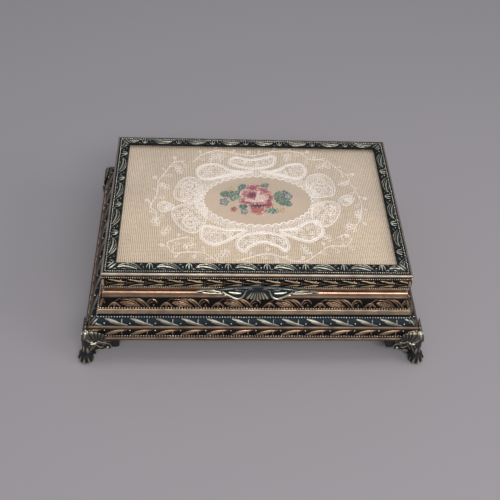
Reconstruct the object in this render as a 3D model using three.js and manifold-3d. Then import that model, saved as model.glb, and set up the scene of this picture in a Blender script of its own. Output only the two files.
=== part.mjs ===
// Trinket box: a gilt moulded case on four claw feet, with a needlework panel under glass in its hinged lid.
// Millimetres, +Z up. The front faces -Y, the hinges are at +Y and the feet stand on Z = 0.
// Mouldings are drawn as sections: "out" is measured from the lid's outer line, "up" from the ground.
import * as THREE from 'three';
import { mergeVertices } from 'three/addons/utils/BufferGeometryUtils.js';
import Module from 'manifold-3d';

const wasm = await Module();
wasm.setup();

// Overall sizes
const lidLength = 166;
const lidDepth = 105.8;
const footHeight = 18.6;
const baseHeight = 12.8;
const wallHeight = 19.4;
const lidHeight = 13.4;

// Sheet metal and clearances
const sheet = 0.8;
const fit = 0.3;
const mitreFit = 0.2;
const overrun = 1;

// Lid moulding
const bandWidth = 6.7;
const lipDrop = 1.1;
const lidBeadRadius = 0.45;
const lidRimRadius = 0.95;
const skirtRimRadius = 0.6;

// Body wall
const seatInset = 1.3;
const wallFlare = 6.55;
const tubeRadius = 1.6;
const coveRibRadius = 0.5;
const friezeBeadRadius = 0.5;

// Base moulding
const baseFlare = 8.3;
const topFlange = 3.25;
const baseBeadRadius = 0.5;
const leafRibRadius = 1.1;
const baseRimRadius = 1;

// Lid filling, from the glass down
const glassOverlap = 2.7;
const glassThickness = 0.9;
const clothThickness = 0.5;
const boardThickness = 1.6;
const lidPadThickness = 3;
const lidPadInset = 1.2;

// Box lining
const plateThickness = 1;
const plateReach = 11;
const liningThickness = 1.6;
const liningDrop = 0.5;
const floorPadThickness = 3;
const padEdgeRadius = 1.2;
const padCornerRadius = 2;

// Hinges
const hingeLength = 28;
const hingeInset = 37;
const leafHeight = 6.5;
const leafThickness = 0.6;
const knuckleRadius = 1.5;
const boreRadius = 0.9;
const knuckleCount = 5;

// Thumb lift
const liftHalfLength = 33;
const liftTopRise = 4.3;
const liftDrop = 4.7;
const liftFlare = 2;
const liftThickness = 0.9;
const shellHalfWidth = 7.4;
const fluteDepth = 0.8;
const scrollRelief = 0.6;
const fluteCount = 9;

// Feet, measured from the lid's outer corner
const pawReach = 13.9;
const pawRadius = 4.2;
const toeHeight = 7.5;
const kneeHeight = 9.4;
const kneeWidth = 13.5;
const toeCount = 5;
const bracketReach = 14.2;
const bracketThickness = 3;
const bracketOut = 12.7;
const bracketFoot = 2.5;
const bracketSag = 4.5;
const scrollRadius = 2.4;
const scrollDrop = 7.4;
const scrollEyeRadius = 1.2;
const scrollEyeRise = 0.6;
const webReach = 18.5;
const webThickness = 3.4;
const webSetback = 1;
const lugThickness = 1.8;
const bossRadius = 4;
const screwInset = 6.5;
const screwRadius = 1.2;
const screwHeadRadius = 2.4;
const screwHeadHeight = 1.2;
const screwBite = 5;
const screwCrownShare = 0.6;

// Heights that follow from the sizes above
const baseTop = footHeight + baseHeight;
const wallBottom = baseTop + fit;
const wallTop = wallBottom + wallHeight;
const lidBottom = wallTop + fit;
const lidTop = lidBottom + lidHeight;
const glassTop = lidTop - lipDrop - fit;
const clothTop = glassTop - glassThickness - fit;
const boardTop = clothTop - clothThickness - fit;
const lidPadTop = boardTop - boardThickness - fit;
const plateBottom = footHeight + sheet + fit;
const plateTop = plateBottom + plateThickness;
const screwSeat = plateTop + fit;
const floorPadBottom = screwSeat + screwHeadHeight + fit;
const liningBottom = plateTop + fit;
const liningTop = wallTop - liningDrop;
const liningOut = -seatInset - sheet - fit;
const floorOut = liningOut - liningThickness - fit;
const wallFoot = wallFlare - seatInset;

function material(name, color, roughness, metalness) {
  return new THREE.MeshStandardMaterial({ name, color, roughness, metalness });
}

const agedGilt = material('aged gilt', 0x8f7050, 0.38, 0.9);
const darkGilt = material('darkened gilt', 0x54483c, 0.45, 0.85);
const verdigris = material('bronze with verdigris', 0x5c6460, 0.45, 0.8);
const brass = material('hinge brass', 0x9a8458, 0.4, 0.9);
const steel = material('screw steel', 0x8d8a84, 0.35, 0.9);
const glassPane = material('window glass', 0xe8efee, 0.05, 0);
const laceCloth = material('cream net and lace', 0xd3c1b2, 0.9, 0);
const card = material('grey card', 0x9a9284, 0.9, 0);
const velvet = material('wine velvet', 0x5a2030, 0.95, 0);

// Section drawing
const at = (out, up) => new THREE.Vector2(out, up);

function halfRound(centre, radius, fromDegrees, toDegrees, steps = 6) {
  const points = [];
  for (let i = 0; i <= steps; i += 1) {
    const angle = THREE.MathUtils.degToRad(THREE.MathUtils.lerp(fromDegrees, toDegrees, i / steps));
    points.push(at(centre.x + radius * Math.cos(angle), centre.y + radius * Math.sin(angle)));
  }
  return points;
}

// The sheet's far face: each corner moves to the right of the way that the line runs.
function offsetLine(points, distance) {
  const side = (a, b) => at(b.y - a.y, a.x - b.x).normalize();
  return points.map((point, i) => {
    const before = side(points[Math.max(i - 1, 0)], points[Math.max(i, 1)]);
    const after = side(points[Math.min(i, points.length - 2)], points[Math.min(i + 1, points.length - 1)]);
    const bisector = before.clone().add(after).normalize();
    return point.clone().addScaledVector(bisector, distance / bisector.dot(before));
  });
}

const inShares = (shares, origin, width, height) =>
  shares.map(([outShare, upShare]) => at(origin.x + outShare * width, origin.y + upShare * height));

// Lid moulding: carved band on top, half-round rim, leaf skirt and a thin lower rim.
function lidSection() {
  const place = (shares) => inShares(shares, at(0, lidBottom), bandWidth, lidHeight);
  const bandShares = [[-1, 0.985], [-0.955, 1], [-0.4, 0.97], [-0.345, 0.945]];
  const skirtShares = [
    [0.015, 0.724], [0.075, 0.664], [0.127, 0.515], [0.142, 0.358], [0.112, 0.187], [0.05, 0.097]];
  const spineShares = [[-1, 1], [-0.135, 0.937], [0.015, 0.813], [0.075, 0.664], [0.134, 0.5],
    [0.142, 0.343], [0.112, 0.187], [0.05, 0]];
  const lip = at(-bandWidth, lidTop - lipDrop);
  const [beadCentre, rimCentre, lowerCentre] = place([[-0.262, 0.918], [-0.09, 0.866], [0.052, 0.05]]);
  const outer = [
    lip,
    ...place(bandShares),
    ...halfRound(beadCentre, lidBeadRadius, 150, 30, 3),
    ...halfRound(rimCentre, lidRimRadius, 112, -50),
    ...place(skirtShares),
    ...halfRound(lowerCentre, skirtRimRadius, 75, -80, 4),
  ];
  return { outer, inner: offsetLine([lip, ...place(spineShares)], sheet) };
}

// Body wall: seat for the lid, plain tube, cove with a fine rib, convex frieze, bead and sloping ledge.
function wallSection() {
  const place = (shares) => inShares(shares, at(-seatInset, wallBottom), wallFlare, wallHeight);
  const friezeShares = [[0.489, 0.644], [0.618, 0.562], [0.71, 0.464], [0.748, 0.356]];
  const ledgeShares = [[0.809, 0.253], [0.87, 0.232], [1, 0.026], [1, 0]];
  const spineShares = [[0, 1], [0, 0.8], [0.3, 0.7], [0.489, 0.644], [0.71, 0.464], [0.748, 0.356],
    [0.8, 0.253], [1, 0.045], [1, 0]];
  const [tubeCentre, ribCentre, beadCentre] = place([[0.153, 0.804], [0.351, 0.686], [0.763, 0.304]]);
  const outer = [
    ...place([[0, 1]]),
    ...halfRound(tubeCentre, tubeRadius, 129, -65, 8),
    ...halfRound(ribCentre, coveRibRadius, 80, -40, 3),
    ...place(friezeShares),
    ...halfRound(beadCentre, friezeBeadRadius, 75, -75, 4),
    ...place(ledgeShares),
  ];
  return { outer, inner: offsetLine(place(spineShares), sheet) };
}

// Base moulding: flange under the wall, bead, two convex leaf bands with a rib between, rolled rim, flange.
function baseSection() {
  const place = (shares) => inShares(shares, at(wallFoot, footHeight), baseFlare, baseHeight);
  const upperBandShares = [[0.121, 0.945], [0.306, 0.875], [0.457, 0.758], [0.491, 0.711]];
  const lowerBandShares = [[0.607, 0.555], [0.711, 0.477], [0.78, 0.367], [0.798, 0.305]];
  const bottomShares = [[0.884, 0], [0.434, 0]];
  const spineShares = [[0.02, 1], [0.306, 0.875], [0.491, 0.7], [0.711, 0.49], [0.81, 0.25], [0.884, 0.1]];
  const [topBead, ribCentre, lowBead, rimCentre] =
    place([[0.04, 0.953], [0.503, 0.641], [0.803, 0.25], [0.884, 0.109]]);
  const flangeEnd = at(wallFoot - topFlange, baseTop);
  const outer = [
    flangeEnd,
    ...halfRound(topBead, baseBeadRadius, 110, 20, 3),
    ...place(upperBandShares),
    ...halfRound(ribCentre, leafRibRadius, 75, -55),
    ...place(lowerBandShares),
    ...halfRound(lowBead, baseBeadRadius, 70, -60, 4),
    ...halfRound(rimCentre, baseRimRadius, 100, -70),
    ...place(bottomShares),
  ];
  return { outer, inner: offsetLine([flangeEnd, ...place(spineShares), ...place(bottomShares)], sheet) };
}

const lidLine = lidSection();
const wallLine = wallSection();
const baseLine = baseSection();

// The furthest that a section stands out between two heights.
function outermost(line, low, high) {
  let reach = -Infinity;
  line.forEach((point, i) => {
    const next = line[Math.min(i + 1, line.length - 1)];
    const from = Math.max(low, Math.min(point.y, next.y));
    const to = Math.min(high, Math.max(point.y, next.y));
    if (from <= to) {
      const rise = next.y - point.y;
      const outAt = (up) => (rise === 0 ? Math.max(point.x, next.x)
        : THREE.MathUtils.lerp(point.x, next.x, (up - point.y) / rise));
      reach = Math.max(reach, outAt(from), outAt(to));
    }
  });
  return reach;
}

// Solids
function reversed(geometry) {
  const index = geometry.index;
  for (let i = 0; i < index.count; i += 3) {
    const first = index.getX(i);
    index.setX(i, index.getX(i + 1));
    index.setX(i + 1, first);
  }
  return geometry;
}

function closedGeometry(geometry) {
  const bare = geometry.clone();
  bare.deleteAttribute('normal');
  bare.deleteAttribute('uv');
  return mergeVertices(bare);
}

function solid(geometry) {
  const closed = closedGeometry(geometry);
  return new wasm.Manifold(new wasm.Mesh({
    numProp: 3,
    vertProperties: closed.attributes.position.array,
    triVerts: new Uint32Array(closed.index.array),
  }));
}

function geometryOf(body) {
  const mesh = body.getMesh();
  const geometry = new THREE.BufferGeometry();
  geometry.setAttribute('position', new THREE.BufferAttribute(new Float32Array(mesh.vertProperties), 3));
  geometry.setIndex(new THREE.BufferAttribute(new Uint32Array(mesh.triVerts), 1));
  geometry.computeVertexNormals();
  return geometry;
}

function extruded(outline, depth, curveSegments = 8) {
  return new THREE.ExtrudeGeometry(outline, { depth, bevelEnabled: false, steps: 1, curveSegments });
}

// A shape drawn in the plane of one side of the box: its first axis runs along +X, its second up.
function uprightPlate(outline, depth, backY, curveSegments) {
  return extruded(outline, depth, curveSegments).rotateX(Math.PI / 2).translate(0, backY, 0);
}

// A closed skin through rings of points, each ring fanned shut at the ends.
function loft(rings) {
  const positions = [];
  const indices = [];
  const count = rings[0].length;
  rings.forEach((ring) => ring.forEach((p) => positions.push(p.x, p.y, p.z)));
  for (let r = 0; r + 1 < rings.length; r += 1) {
    for (let i = 0; i < count; i += 1) {
      const a = r * count + i;
      const b = r * count + ((i + 1) % count);
      indices.push(a, b, b + count, a, b + count, a + count);
    }
  }
  [rings[0], rings[rings.length - 1]].forEach((ring, end) => {
    const centre = ring.reduce((sum, p) => sum.add(p), new THREE.Vector3()).divideScalar(count);
    const hub = positions.length / 3;
    positions.push(centre.x, centre.y, centre.z);
    const first = end === 0 ? 0 : (rings.length - 1) * count;
    for (let i = 0; i < count; i += 1) {
      const a = first + i;
      const b = first + ((i + 1) % count);
      indices.push(...(end === 0 ? [hub, b, a] : [hub, a, b]));
    }
  });
  const geometry = new THREE.BufferGeometry();
  geometry.setAttribute('position', new THREE.Float32BufferAttribute(positions, 3));
  geometry.setIndex(indices);
  return geometry;
}

// One side of a frame: the section runs along X at the front and ends on the mitre at both corners.
function mitredStrip({ outer, inner }, length, depth) {
  const section = new THREE.Shape([...outer, ...[...inner].reverse()]);
  const geometry = extruded(section, 1);
  const positions = geometry.attributes.position;
  for (let i = 0; i < positions.count; i += 1) {
    const out = positions.getX(i);
    const up = positions.getY(i);
    const end = 1 - 2 * positions.getZ(i);
    positions.setXYZ(i, end * (length / 2 + out - mitreFit), -(depth / 2 + out), up);
  }
  return closedGeometry(geometry);
}

const box = new THREE.Group();

function addPiece(name, geometry, finish, parent = box) {
  const mesh = new THREE.Mesh(geometry, finish);
  mesh.name = name;
  parent.add(mesh);
  return mesh;
}

// Four strips make a frame: front and back run along the length, left and right along the depth.
function addFrame(name, section, finish) {
  const sides = [['front', 0], ['right', 1], ['back', 2], ['left', 3]];
  sides.forEach(([side, quarterTurns]) => {
    const across = quarterTurns % 2 === 1;
    const strip = mitredStrip(section, across ? lidDepth : lidLength, across ? lidLength : lidDepth);
    addPiece(`${name}_${side}`, strip, finish).rotation.z = quarterTurns * Math.PI / 2;
  });
}

function roundedRectangle(halfLength, halfDepth, radius) {
  const outline = new THREE.Shape();
  outline.absarc(halfLength - radius, halfDepth - radius, radius, 0, Math.PI / 2);
  outline.absarc(radius - halfLength, halfDepth - radius, radius, Math.PI / 2, Math.PI);
  outline.absarc(radius - halfLength, radius - halfDepth, radius, Math.PI, Math.PI * 1.5);
  outline.absarc(halfLength - radius, radius - halfDepth, radius, Math.PI * 1.5, Math.PI * 2);
  return outline;
}

function flatSheet(out, bottom, thickness) {
  const geometry = new THREE.BoxGeometry(lidLength + 2 * out, lidDepth + 2 * out, thickness);
  return geometry.translate(0, 0, bottom + thickness / 2);
}

// A padded board: flat under the cloth, with softly rounded edges and corners.
function pad(out, bottom, thickness) {
  const outline = roundedRectangle(
    lidLength / 2 + out - padEdgeRadius, lidDepth / 2 + out - padEdgeRadius, padCornerRadius);
  const geometry = new THREE.ExtrudeGeometry(outline, {
    depth: thickness - 2 * padEdgeRadius,
    bevelThickness: padEdgeRadius,
    bevelSize: padEdgeRadius,
    bevelSegments: 2,
    curveSegments: 3,
  });
  return closedGeometry(geometry.translate(0, 0, bottom + padEdgeRadius));
}

function addLidFilling() {
  const paneOut = glassOverlap - bandWidth;
  addPiece('lid_glass', flatSheet(paneOut, glassTop - glassThickness, glassThickness), glassPane);
  addPiece('lace_panel', flatSheet(paneOut, clothTop - clothThickness, clothThickness), laceCloth);
  addPiece('panel_board', flatSheet(paneOut, boardTop - boardThickness, boardThickness), card);
  addPiece('lid_lining', pad(-lidPadInset, lidPadTop - lidPadThickness, lidPadThickness), velvet);
}

const screwPlaces = [[1, 1], [-1, 1], [-1, -1], [1, -1]].map(([sideX, sideY]) =>
  at(sideX * (lidLength / 2 - screwInset), sideY * (lidDepth / 2 - screwInset)));

function addBottomPlate() {
  const halfLength = lidLength / 2 + plateReach;
  const halfDepth = lidDepth / 2 + plateReach;
  const outline = new THREE.Shape([
    at(halfLength, halfDepth), at(-halfLength, halfDepth),
    at(-halfLength, -halfDepth), at(halfLength, -halfDepth)]);
  outline.holes = screwPlaces.map((place) =>
    new THREE.Path().absarc(place.x, place.y, screwRadius + fit, 0, Math.PI * 2, true));
  addPiece('bottom_plate', extruded(outline, plateThickness, 8).translate(0, 0, plateBottom), darkGilt);
}

function addLinings() {
  const inner = liningOut - liningThickness;
  const roundOff = liningThickness / 2;
  const section = {
    outer: [at(inner + roundOff, liningTop), at(liningOut, liningTop), at(liningOut, liningBottom)],
    inner: [at(inner, liningTop - roundOff), at(inner, liningBottom)],
  };
  addFrame('wall_lining', section, velvet);
  addPiece('floor_pad', pad(floorOut, floorPadBottom, floorPadThickness), velvet);
}

// Hinge: both leaves are cut from one plate with a full-length knuckle along the pin.
const hingeUp = lidBottom - fit / 2;
const lidLeafSeat = outermost(lidLine.outer, lidBottom, hingeUp + leafHeight) + fit;
const boxLeafSeat = outermost(wallLine.outer, hingeUp - leafHeight, wallTop) + fit;
const hingeOut = Math.max(lidLeafSeat, boxLeafSeat) + knuckleRadius;

function rod(radius, length, segments = 12) {
  return new THREE.CylinderGeometry(radius, radius, length, segments).rotateZ(Math.PI / 2);
}

function block(sizeX, sizeY, sizeZ, centreX, centreY, centreZ) {
  return new THREE.BoxGeometry(sizeX, sizeY, sizeZ).translate(centreX, centreY, centreZ);
}

function hingeLeaf(seat, upward) {
  const faceY = seat - hingeOut;
  const plate = block(hingeLength, leafThickness, leafHeight,
    0, faceY + leafThickness / 2, upward * leafHeight / 2);
  let leaf = solid(plate).add(solid(rod(knuckleRadius, hingeLength)));
  leaf = leaf.subtract(solid(rod(boreRadius, hingeLength + 2 * overrun)));
  const pitch = hingeLength / knuckleCount;
  const clearRadius = knuckleRadius + fit;
  for (let i = 0; i < knuckleCount; i += 1) {
    const isLidKnuckle = i % 2 === 1;
    if (isLidKnuckle !== (upward > 0)) {
      const isEnd = i === 0 || i === knuckleCount - 1;
      const width = pitch + fit + (isEnd ? overrun : 0);
      const shift = (i === 0 ? -overrun / 2 : 0) + (i === knuckleCount - 1 ? overrun / 2 : 0);
      const centreX = (i + 0.5) * pitch - hingeLength / 2 + shift;
      leaf = leaf.subtract(solid(block(width, 4 * clearRadius, 2 * clearRadius, centreX, 0, 0)));
    }
  }
  return geometryOf(leaf);
}

function addHinges() {
  [['left', -1], ['right', 1]].forEach(([side, direction]) => {
    const hinge = new THREE.Group();
    hinge.position.set(direction * (lidLength / 2 - hingeInset), lidDepth / 2 + hingeOut, hingeUp);
    addPiece(`hinge_lid_leaf_${side}`, hingeLeaf(lidLeafSeat, 1), brass, hinge);
    addPiece(`hinge_box_leaf_${side}`, hingeLeaf(boxLeafSeat, -1), brass, hinge);
    addPiece(`hinge_pin_${side}`, rod(boreRadius - fit, hingeLength), brass, hinge);
    box.add(hinge);
  });
}

// Thumb lift: a fluted fan shell between two scroll wings, standing off the tube below the lid.
const liftOutlineShares = [
  [0, 1, 0], [0.22, 0.98, 0.05], [0.255, 0.97, 0.24], [0.3, 0.95, 0.17], [0.39, 0.92, 0.07],
  [0.48, 0.86, 0.2], [0.56, 0.8, 0.38], [0.7, 0.7, 0.44], [0.85, 0.62, 0.4], [1, 0.6, 0.46]];

function shareAlong(table, place, column) {
  const next = Math.max(table.findIndex((row) => row[0] >= place), 1);
  const [from, to] = [table[next - 1], table[next]];
  return THREE.MathUtils.mapLinear(place, from[0], to[0], from[column], to[column]);
}

function liftBackOut(up) {
  const seat = outermost(lidLine.outer, lidBottom, lidBottom + liftTopRise) + fit;
  const below = Math.max((lidBottom + sheet - up) / (liftDrop + sheet), 0);
  return seat + liftFlare * below;
}

function liftRelief(x, up) {
  if (Math.abs(x) < shellHalfWidth) {
    const focus = lidBottom + liftTopRise;
    const spread = Math.atan2(x, focus - up) / Math.atan2(shellHalfWidth, liftTopRise + liftDrop);
    const fade = THREE.MathUtils.clamp((focus - up) / (liftTopRise + liftDrop), 0, 1);
    return fluteDepth * fade * Math.abs(Math.cos(spread * fluteCount * Math.PI / 2));
  }
  const along = (Math.abs(x) - shellHalfWidth) / (liftHalfLength - shellHalfWidth);
  return scrollRelief * Math.abs(Math.sin(along * Math.PI * 1.5));
}

function thumbLift() {
  const shellColumns = 2 * fluteCount;
  const wingColumns = 11;
  const rows = 6;
  const columns = [];
  for (let i = 0; i <= wingColumns; i += 1) {
    columns.push(THREE.MathUtils.lerp(-liftHalfLength, -shellHalfWidth, i / wingColumns));
  }
  for (let i = 1; i <= shellColumns; i += 1) {
    columns.push(THREE.MathUtils.lerp(-shellHalfWidth, shellHalfWidth, i / shellColumns));
  }
  for (let i = 1; i <= wingColumns; i += 1) {
    columns.push(THREE.MathUtils.lerp(shellHalfWidth, liftHalfLength, i / wingColumns));
  }
  const rings = columns.map((x) => {
    const place = Math.abs(x) / liftHalfLength;
    const low = lidBottom - liftDrop;
    const span = liftTopRise + liftDrop;
    const top = low + span * shareAlong(liftOutlineShares, place, 1);
    const bottom = low + span * shareAlong(liftOutlineShares, place, 2);
    const ring = [];
    for (let r = 0; r <= rows; r += 1) {
      const up = THREE.MathUtils.lerp(bottom, top, r / rows);
      const out = liftBackOut(up) + liftThickness + liftRelief(x, up);
      ring.push(new THREE.Vector3(x, -(lidDepth / 2 + out), up));
    }
    for (let r = rows; r >= 0; r -= 1) {
      const up = THREE.MathUtils.lerp(bottom, top, r / rows);
      ring.push(new THREE.Vector3(x, -(lidDepth / 2 + liftBackOut(up)), up));
    }
    return ring;
  });
  return reversed(loft(rings));
}

// Foot, drawn at the back right corner with the lid's outer corner at the origin.
// Rows: height as a share of the foot's height, then centre, depth and width as shares of the paw's sizes.
const legShares = [
  [0, 1, 0.92, 0.95], [0.08, 1.02, 1.04, 1.06], [0.2, 1.02, 1.04, 1.08], [0.31, 0.99, 0.88, 0.95],
  [0.4, 0.95, 0.68, 0.8], [0.5, 0.91, 0.64, 0.76], [0.64, 0.86, 0.78, 0.95], [0.82, 0.79, 0.95, 1.15],
  [1, 0.75, 1, 1.3]];

function legRing([heightShare, centreShare, depthShare, widthShare]) {
  const around = 8 * toeCount;
  const centre = pawReach * centreShare;
  const up = (footHeight - fit) * heightShare;
  const toes = THREE.MathUtils.clamp((toeHeight - up) / toeHeight, 0, 1);
  const ring = [];
  for (let i = 0; i < around; i += 1) {
    const angle = i / around * Math.PI * 2;
    const outward = Math.max(Math.cos(angle), 0);
    const scallop = 1 - 0.3 * toes * outward * (1 - Math.abs(Math.cos(angle * toeCount)));
    const along = pawRadius * depthShare * Math.cos(angle) * scallop;
    const across = pawRadius * widthShare * Math.sin(angle) * scallop;
    ring.push(new THREE.Vector3(
      centre + (along - across) * Math.SQRT1_2, centre + (along + across) * Math.SQRT1_2, up));
  }
  return ring;
}

// A bracket under one side of the base: straight end, scrolled lower corner, edge sloping down to the paw.
function scrollOutline(reach) {
  const top = footHeight - fit;
  const end = bracketOut - reach;
  const outline = new THREE.Shape();
  outline.moveTo(bracketOut, top);
  outline.lineTo(end, top);
  outline.absarc(end + scrollRadius, top - scrollDrop, scrollRadius, Math.PI, Math.PI * 1.67);
  outline.quadraticCurveTo(
    bracketOut - reach / 2, bracketFoot + bracketSag, bracketOut, bracketFoot);
  return outline;
}

function scrollBracket() {
  const outline = scrollOutline(bracketReach);
  const front = solid(uprightPlate(outline, bracketThickness, bracketOut, 4));
  const web = solid(uprightPlate(scrollOutline(webReach), webThickness, bracketOut - webSetback, 4));
  const eye = new THREE.CylinderGeometry(scrollEyeRadius, scrollEyeRadius, 2 * scrollEyeRise, 8).translate(
    bracketOut - bracketReach + scrollRadius, bracketOut, footHeight - fit - scrollDrop);
  return front.add(web).add(solid(eye));
}

// Swapping X and Y mirrors a solid in the foot's own plane of symmetry.
function swapped(body) {
  const geometry = geometryOf(body);
  const positions = geometry.attributes.position;
  for (let i = 0; i < positions.count; i += 1) {
    positions.setXY(i, positions.getY(i), positions.getX(i));
  }
  return solid(reversed(geometry));
}

// A block that fills the corner of the box inside a line of [out, up] points.
function cornerBlock(line) {
  const far = -(webReach + screwInset);
  return solid(loft(line.map(([out, up]) =>
    [[out, far], [out, out], [far, out], [far, far]].map(([x, y]) => new THREE.Vector3(x, y, up)))));
}

// The space that the base corner takes up, grown by the clearance that the foot keeps to it.
function baseCorner() {
  const levels = 9;
  const step = baseHeight / levels;
  const line = [];
  for (let i = 0; i <= levels; i += 1) {
    const up = footHeight + i * step;
    const out = outermost(baseLine.outer, up - step, up + step) + fit;
    line.push([out, i === 0 ? footHeight - fit : up]);
  }
  return cornerBlock(line);
}

// Acanthus knee, folded round the base corner: a lobe under the base, a lip over its rim, a leaf up to a tip.
// Rows: height over the base's bottom, distance out, width, as shares of the knee's height, flare and width.
const kneeShares = [
  [-0.5, 0.78, 0.45], [-0.34, 0.98, 0.75], [-0.14, 1.04, 0.95], [0, 1.06, 1], [0.14, 1.11, 1],
  [0.3, 1.09, 0.96], [0.45, 1.05, 0.88], [0.65, 0.97, 0.7], [0.85, 0.84, 0.4], [1, 0.66, 0.02]];

function knee() {
  const low = footHeight - fit;
  const rows = kneeShares.map(([upShare, outShare, widthShare]) => ({
    up: low + upShare * kneeHeight,
    out: wallFoot + outShare * baseFlare,
    width: widthShare * kneeWidth,
  }));
  const skin = cornerBlock(rows.map(({ out, up }) => [out, up]));
  const far = 2 * (baseFlare + wallFoot + kneeWidth);
  const leaf = solid(loft(rows.map(({ up, out, width }) => {
    const fold = 2 * out - width;
    return [[far, far], [fold - far, far], [far, fold - far]].map(([x, y]) => new THREE.Vector3(x, y, up));
  })));
  return skin.intersect(leaf).subtract(baseCorner());
}

function fixingLug() {
  const top = footHeight - fit;
  const inner = -screwInset - bossRadius;
  const edge = bracketOut - bracketThickness;
  const outline = new THREE.Shape([
    at(edge, edge), at(inner / 2, edge), at(inner, 0), at(inner, inner), at(0, inner), at(edge, inner / 2)]);
  const plate = solid(extruded(outline, lugThickness).translate(0, 0, top - lugThickness));
  const bossTop = plateBottom - fit;
  const bossHeight = bossTop - top + lugThickness;
  const boss = new THREE.CylinderGeometry(bossRadius, bossRadius, bossHeight, 16).rotateX(Math.PI / 2);
  return plate.add(solid(boss.translate(-screwInset, -screwInset, bossTop - bossHeight / 2)));
}

function foot() {
  const leg = solid(loft(legShares.map(legRing)));
  const bracket = scrollBracket();
  const casting = leg.add(bracket).add(swapped(bracket)).add(fixingLug()).add(knee());
  const hole = new THREE.CylinderGeometry(screwRadius + fit, screwRadius + fit, 4 * screwBite, 12);
  return geometryOf(casting.subtract(solid(hole.rotateX(Math.PI / 2).translate(
    -screwInset, -screwInset, plateBottom - screwBite))));
}

function addFeet() {
  const shape = foot();
  const corners = [
    ['back_right', 1, 1], ['back_left', -1, 1], ['front_left', -1, -1], ['front_right', 1, -1]];
  corners.forEach(([corner, sideX, sideY], quarterTurns) => {
    const piece = addPiece(`foot_${corner}`, shape, verdigris);
    piece.position.set(sideX * lidLength / 2, sideY * lidDepth / 2, 0);
    piece.rotation.z = quarterTurns * Math.PI / 2;
  });
}

// Foot screw: domed head on the bottom plate, plain shank down into the foot's boss.
function footScrew() {
  const profile = [
    at(0, -screwBite), at(screwRadius, -screwBite), at(screwRadius, 0), at(screwHeadRadius, 0),
    at(screwHeadRadius, screwHeadHeight / 2), at(screwHeadRadius * screwCrownShare, screwHeadHeight),
    at(0, screwHeadHeight)];
  return closedGeometry(new THREE.LatheGeometry(profile, 12).rotateX(Math.PI / 2));
}

function addScrews() {
  const names = ['back_right', 'back_left', 'front_left', 'front_right'];
  screwPlaces.forEach((place, i) => {
    const screw = addPiece(`foot_screw_${names[i]}`, footScrew(), steel);
    screw.position.set(place.x, place.y, screwSeat);
  });
}

addFrame('lid_moulding', lidLine, agedGilt);
addLidFilling();
addPiece('thumb_lift', thumbLift(), verdigris);
addFrame('body_wall', wallLine, agedGilt);
addFrame('base_moulding', baseLine, darkGilt);
addBottomPlate();
addLinings();
addHinges();
addFeet();
addScrews();

export default box;
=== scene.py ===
"""Gilt trinket box with a lace and petit-point lid panel, dressed around its fixed frame."""

import math

import bpy
import numpy as np
from mathutils import Matrix, Vector


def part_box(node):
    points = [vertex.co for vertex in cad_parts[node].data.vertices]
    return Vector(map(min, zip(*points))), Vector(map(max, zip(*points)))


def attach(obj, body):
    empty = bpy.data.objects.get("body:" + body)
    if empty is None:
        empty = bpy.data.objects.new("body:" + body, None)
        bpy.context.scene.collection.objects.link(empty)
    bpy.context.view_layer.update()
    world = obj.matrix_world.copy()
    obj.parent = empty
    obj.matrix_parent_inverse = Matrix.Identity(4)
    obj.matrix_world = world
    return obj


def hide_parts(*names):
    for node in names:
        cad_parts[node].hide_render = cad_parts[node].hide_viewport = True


bl_info = {
    "name": "Gilt Trinket Box",
    "version": (1, 0, 0),
    "blender": (4, 5, 0),
    "location": "View3D > Sidebar > Trinket Box",
    "description": "Carved gilt mouldings, claw feet and a lace panel around the trinket box frame",
    "category": "Add Mesh",
}

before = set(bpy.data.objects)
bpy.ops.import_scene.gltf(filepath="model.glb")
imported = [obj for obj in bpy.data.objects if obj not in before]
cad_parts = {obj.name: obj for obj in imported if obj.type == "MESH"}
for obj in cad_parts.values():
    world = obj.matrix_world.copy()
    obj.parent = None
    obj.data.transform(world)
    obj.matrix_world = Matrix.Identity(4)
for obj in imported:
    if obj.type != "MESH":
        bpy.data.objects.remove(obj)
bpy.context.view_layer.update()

MM = 0.001
QUARTER = math.pi / 2

# Levels and lines of the frame, in millimetres. "Out" is measured outwards from the lid's outer line.
GLASS_INSET = 4.0
BAND_WIDTH = 6.7
SEAT_INSET = 1.3
FIT = 0.3
LID_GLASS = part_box("lid_glass")
WALL_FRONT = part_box("body_wall_front")
BASE_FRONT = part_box("base_moulding_front")
HALF_LENGTH = LID_GLASS[1].x / MM + GLASS_INSET
HALF_DEPTH = LID_GLASS[1].y / MM + GLASS_INSET
BASE_LOW, BASE_TOP = (corner.z / MM for corner in BASE_FRONT)
WALL_LOW, WALL_TOP = (corner.z / MM for corner in WALL_FRONT)
WALL_FOOT = -WALL_FRONT[0].y / MM - HALF_DEPTH
WALL_FLARE = WALL_FOOT + SEAT_INSET
BASE_FLARE = -BASE_FRONT[0].y / MM - HALF_DEPTH - WALL_FOOT
LID_LOW = WALL_TOP + FIT
LID_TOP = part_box("lid_moulding_front")[1].z / MM
SIDES = ("front", "right", "back", "left")
CORNERS = {"back_right": (1, 1), "back_left": (-1, 1), "front_left": (-1, -1), "front_right": (1, -1)}


def srgb(code):
    """An sRGB hex colour, such as "8f7050", as linear RGB."""
    channels = [int(code[i:i + 2], 16) / 255 for i in (0, 2, 4)]
    return tuple(c / 12.92 if c <= 0.04045 else ((c + 0.055) / 1.055) ** 2.4 for c in channels)


def colour_property(label, description, code):
    return bpy.props.FloatVectorProperty(
        name=label, description=description, subtype="COLOR", size=3, min=0, max=1, default=srgb(code))


def length_property(label, description, millimetres):
    return bpy.props.FloatProperty(
        name=label, description=description, unit="LENGTH", subtype="DISTANCE", default=millimetres * MM)


def angle_property(label, description, degrees):
    return bpy.props.FloatProperty(
        name=label, description=description, unit="ROTATION", default=math.radians(degrees))


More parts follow.
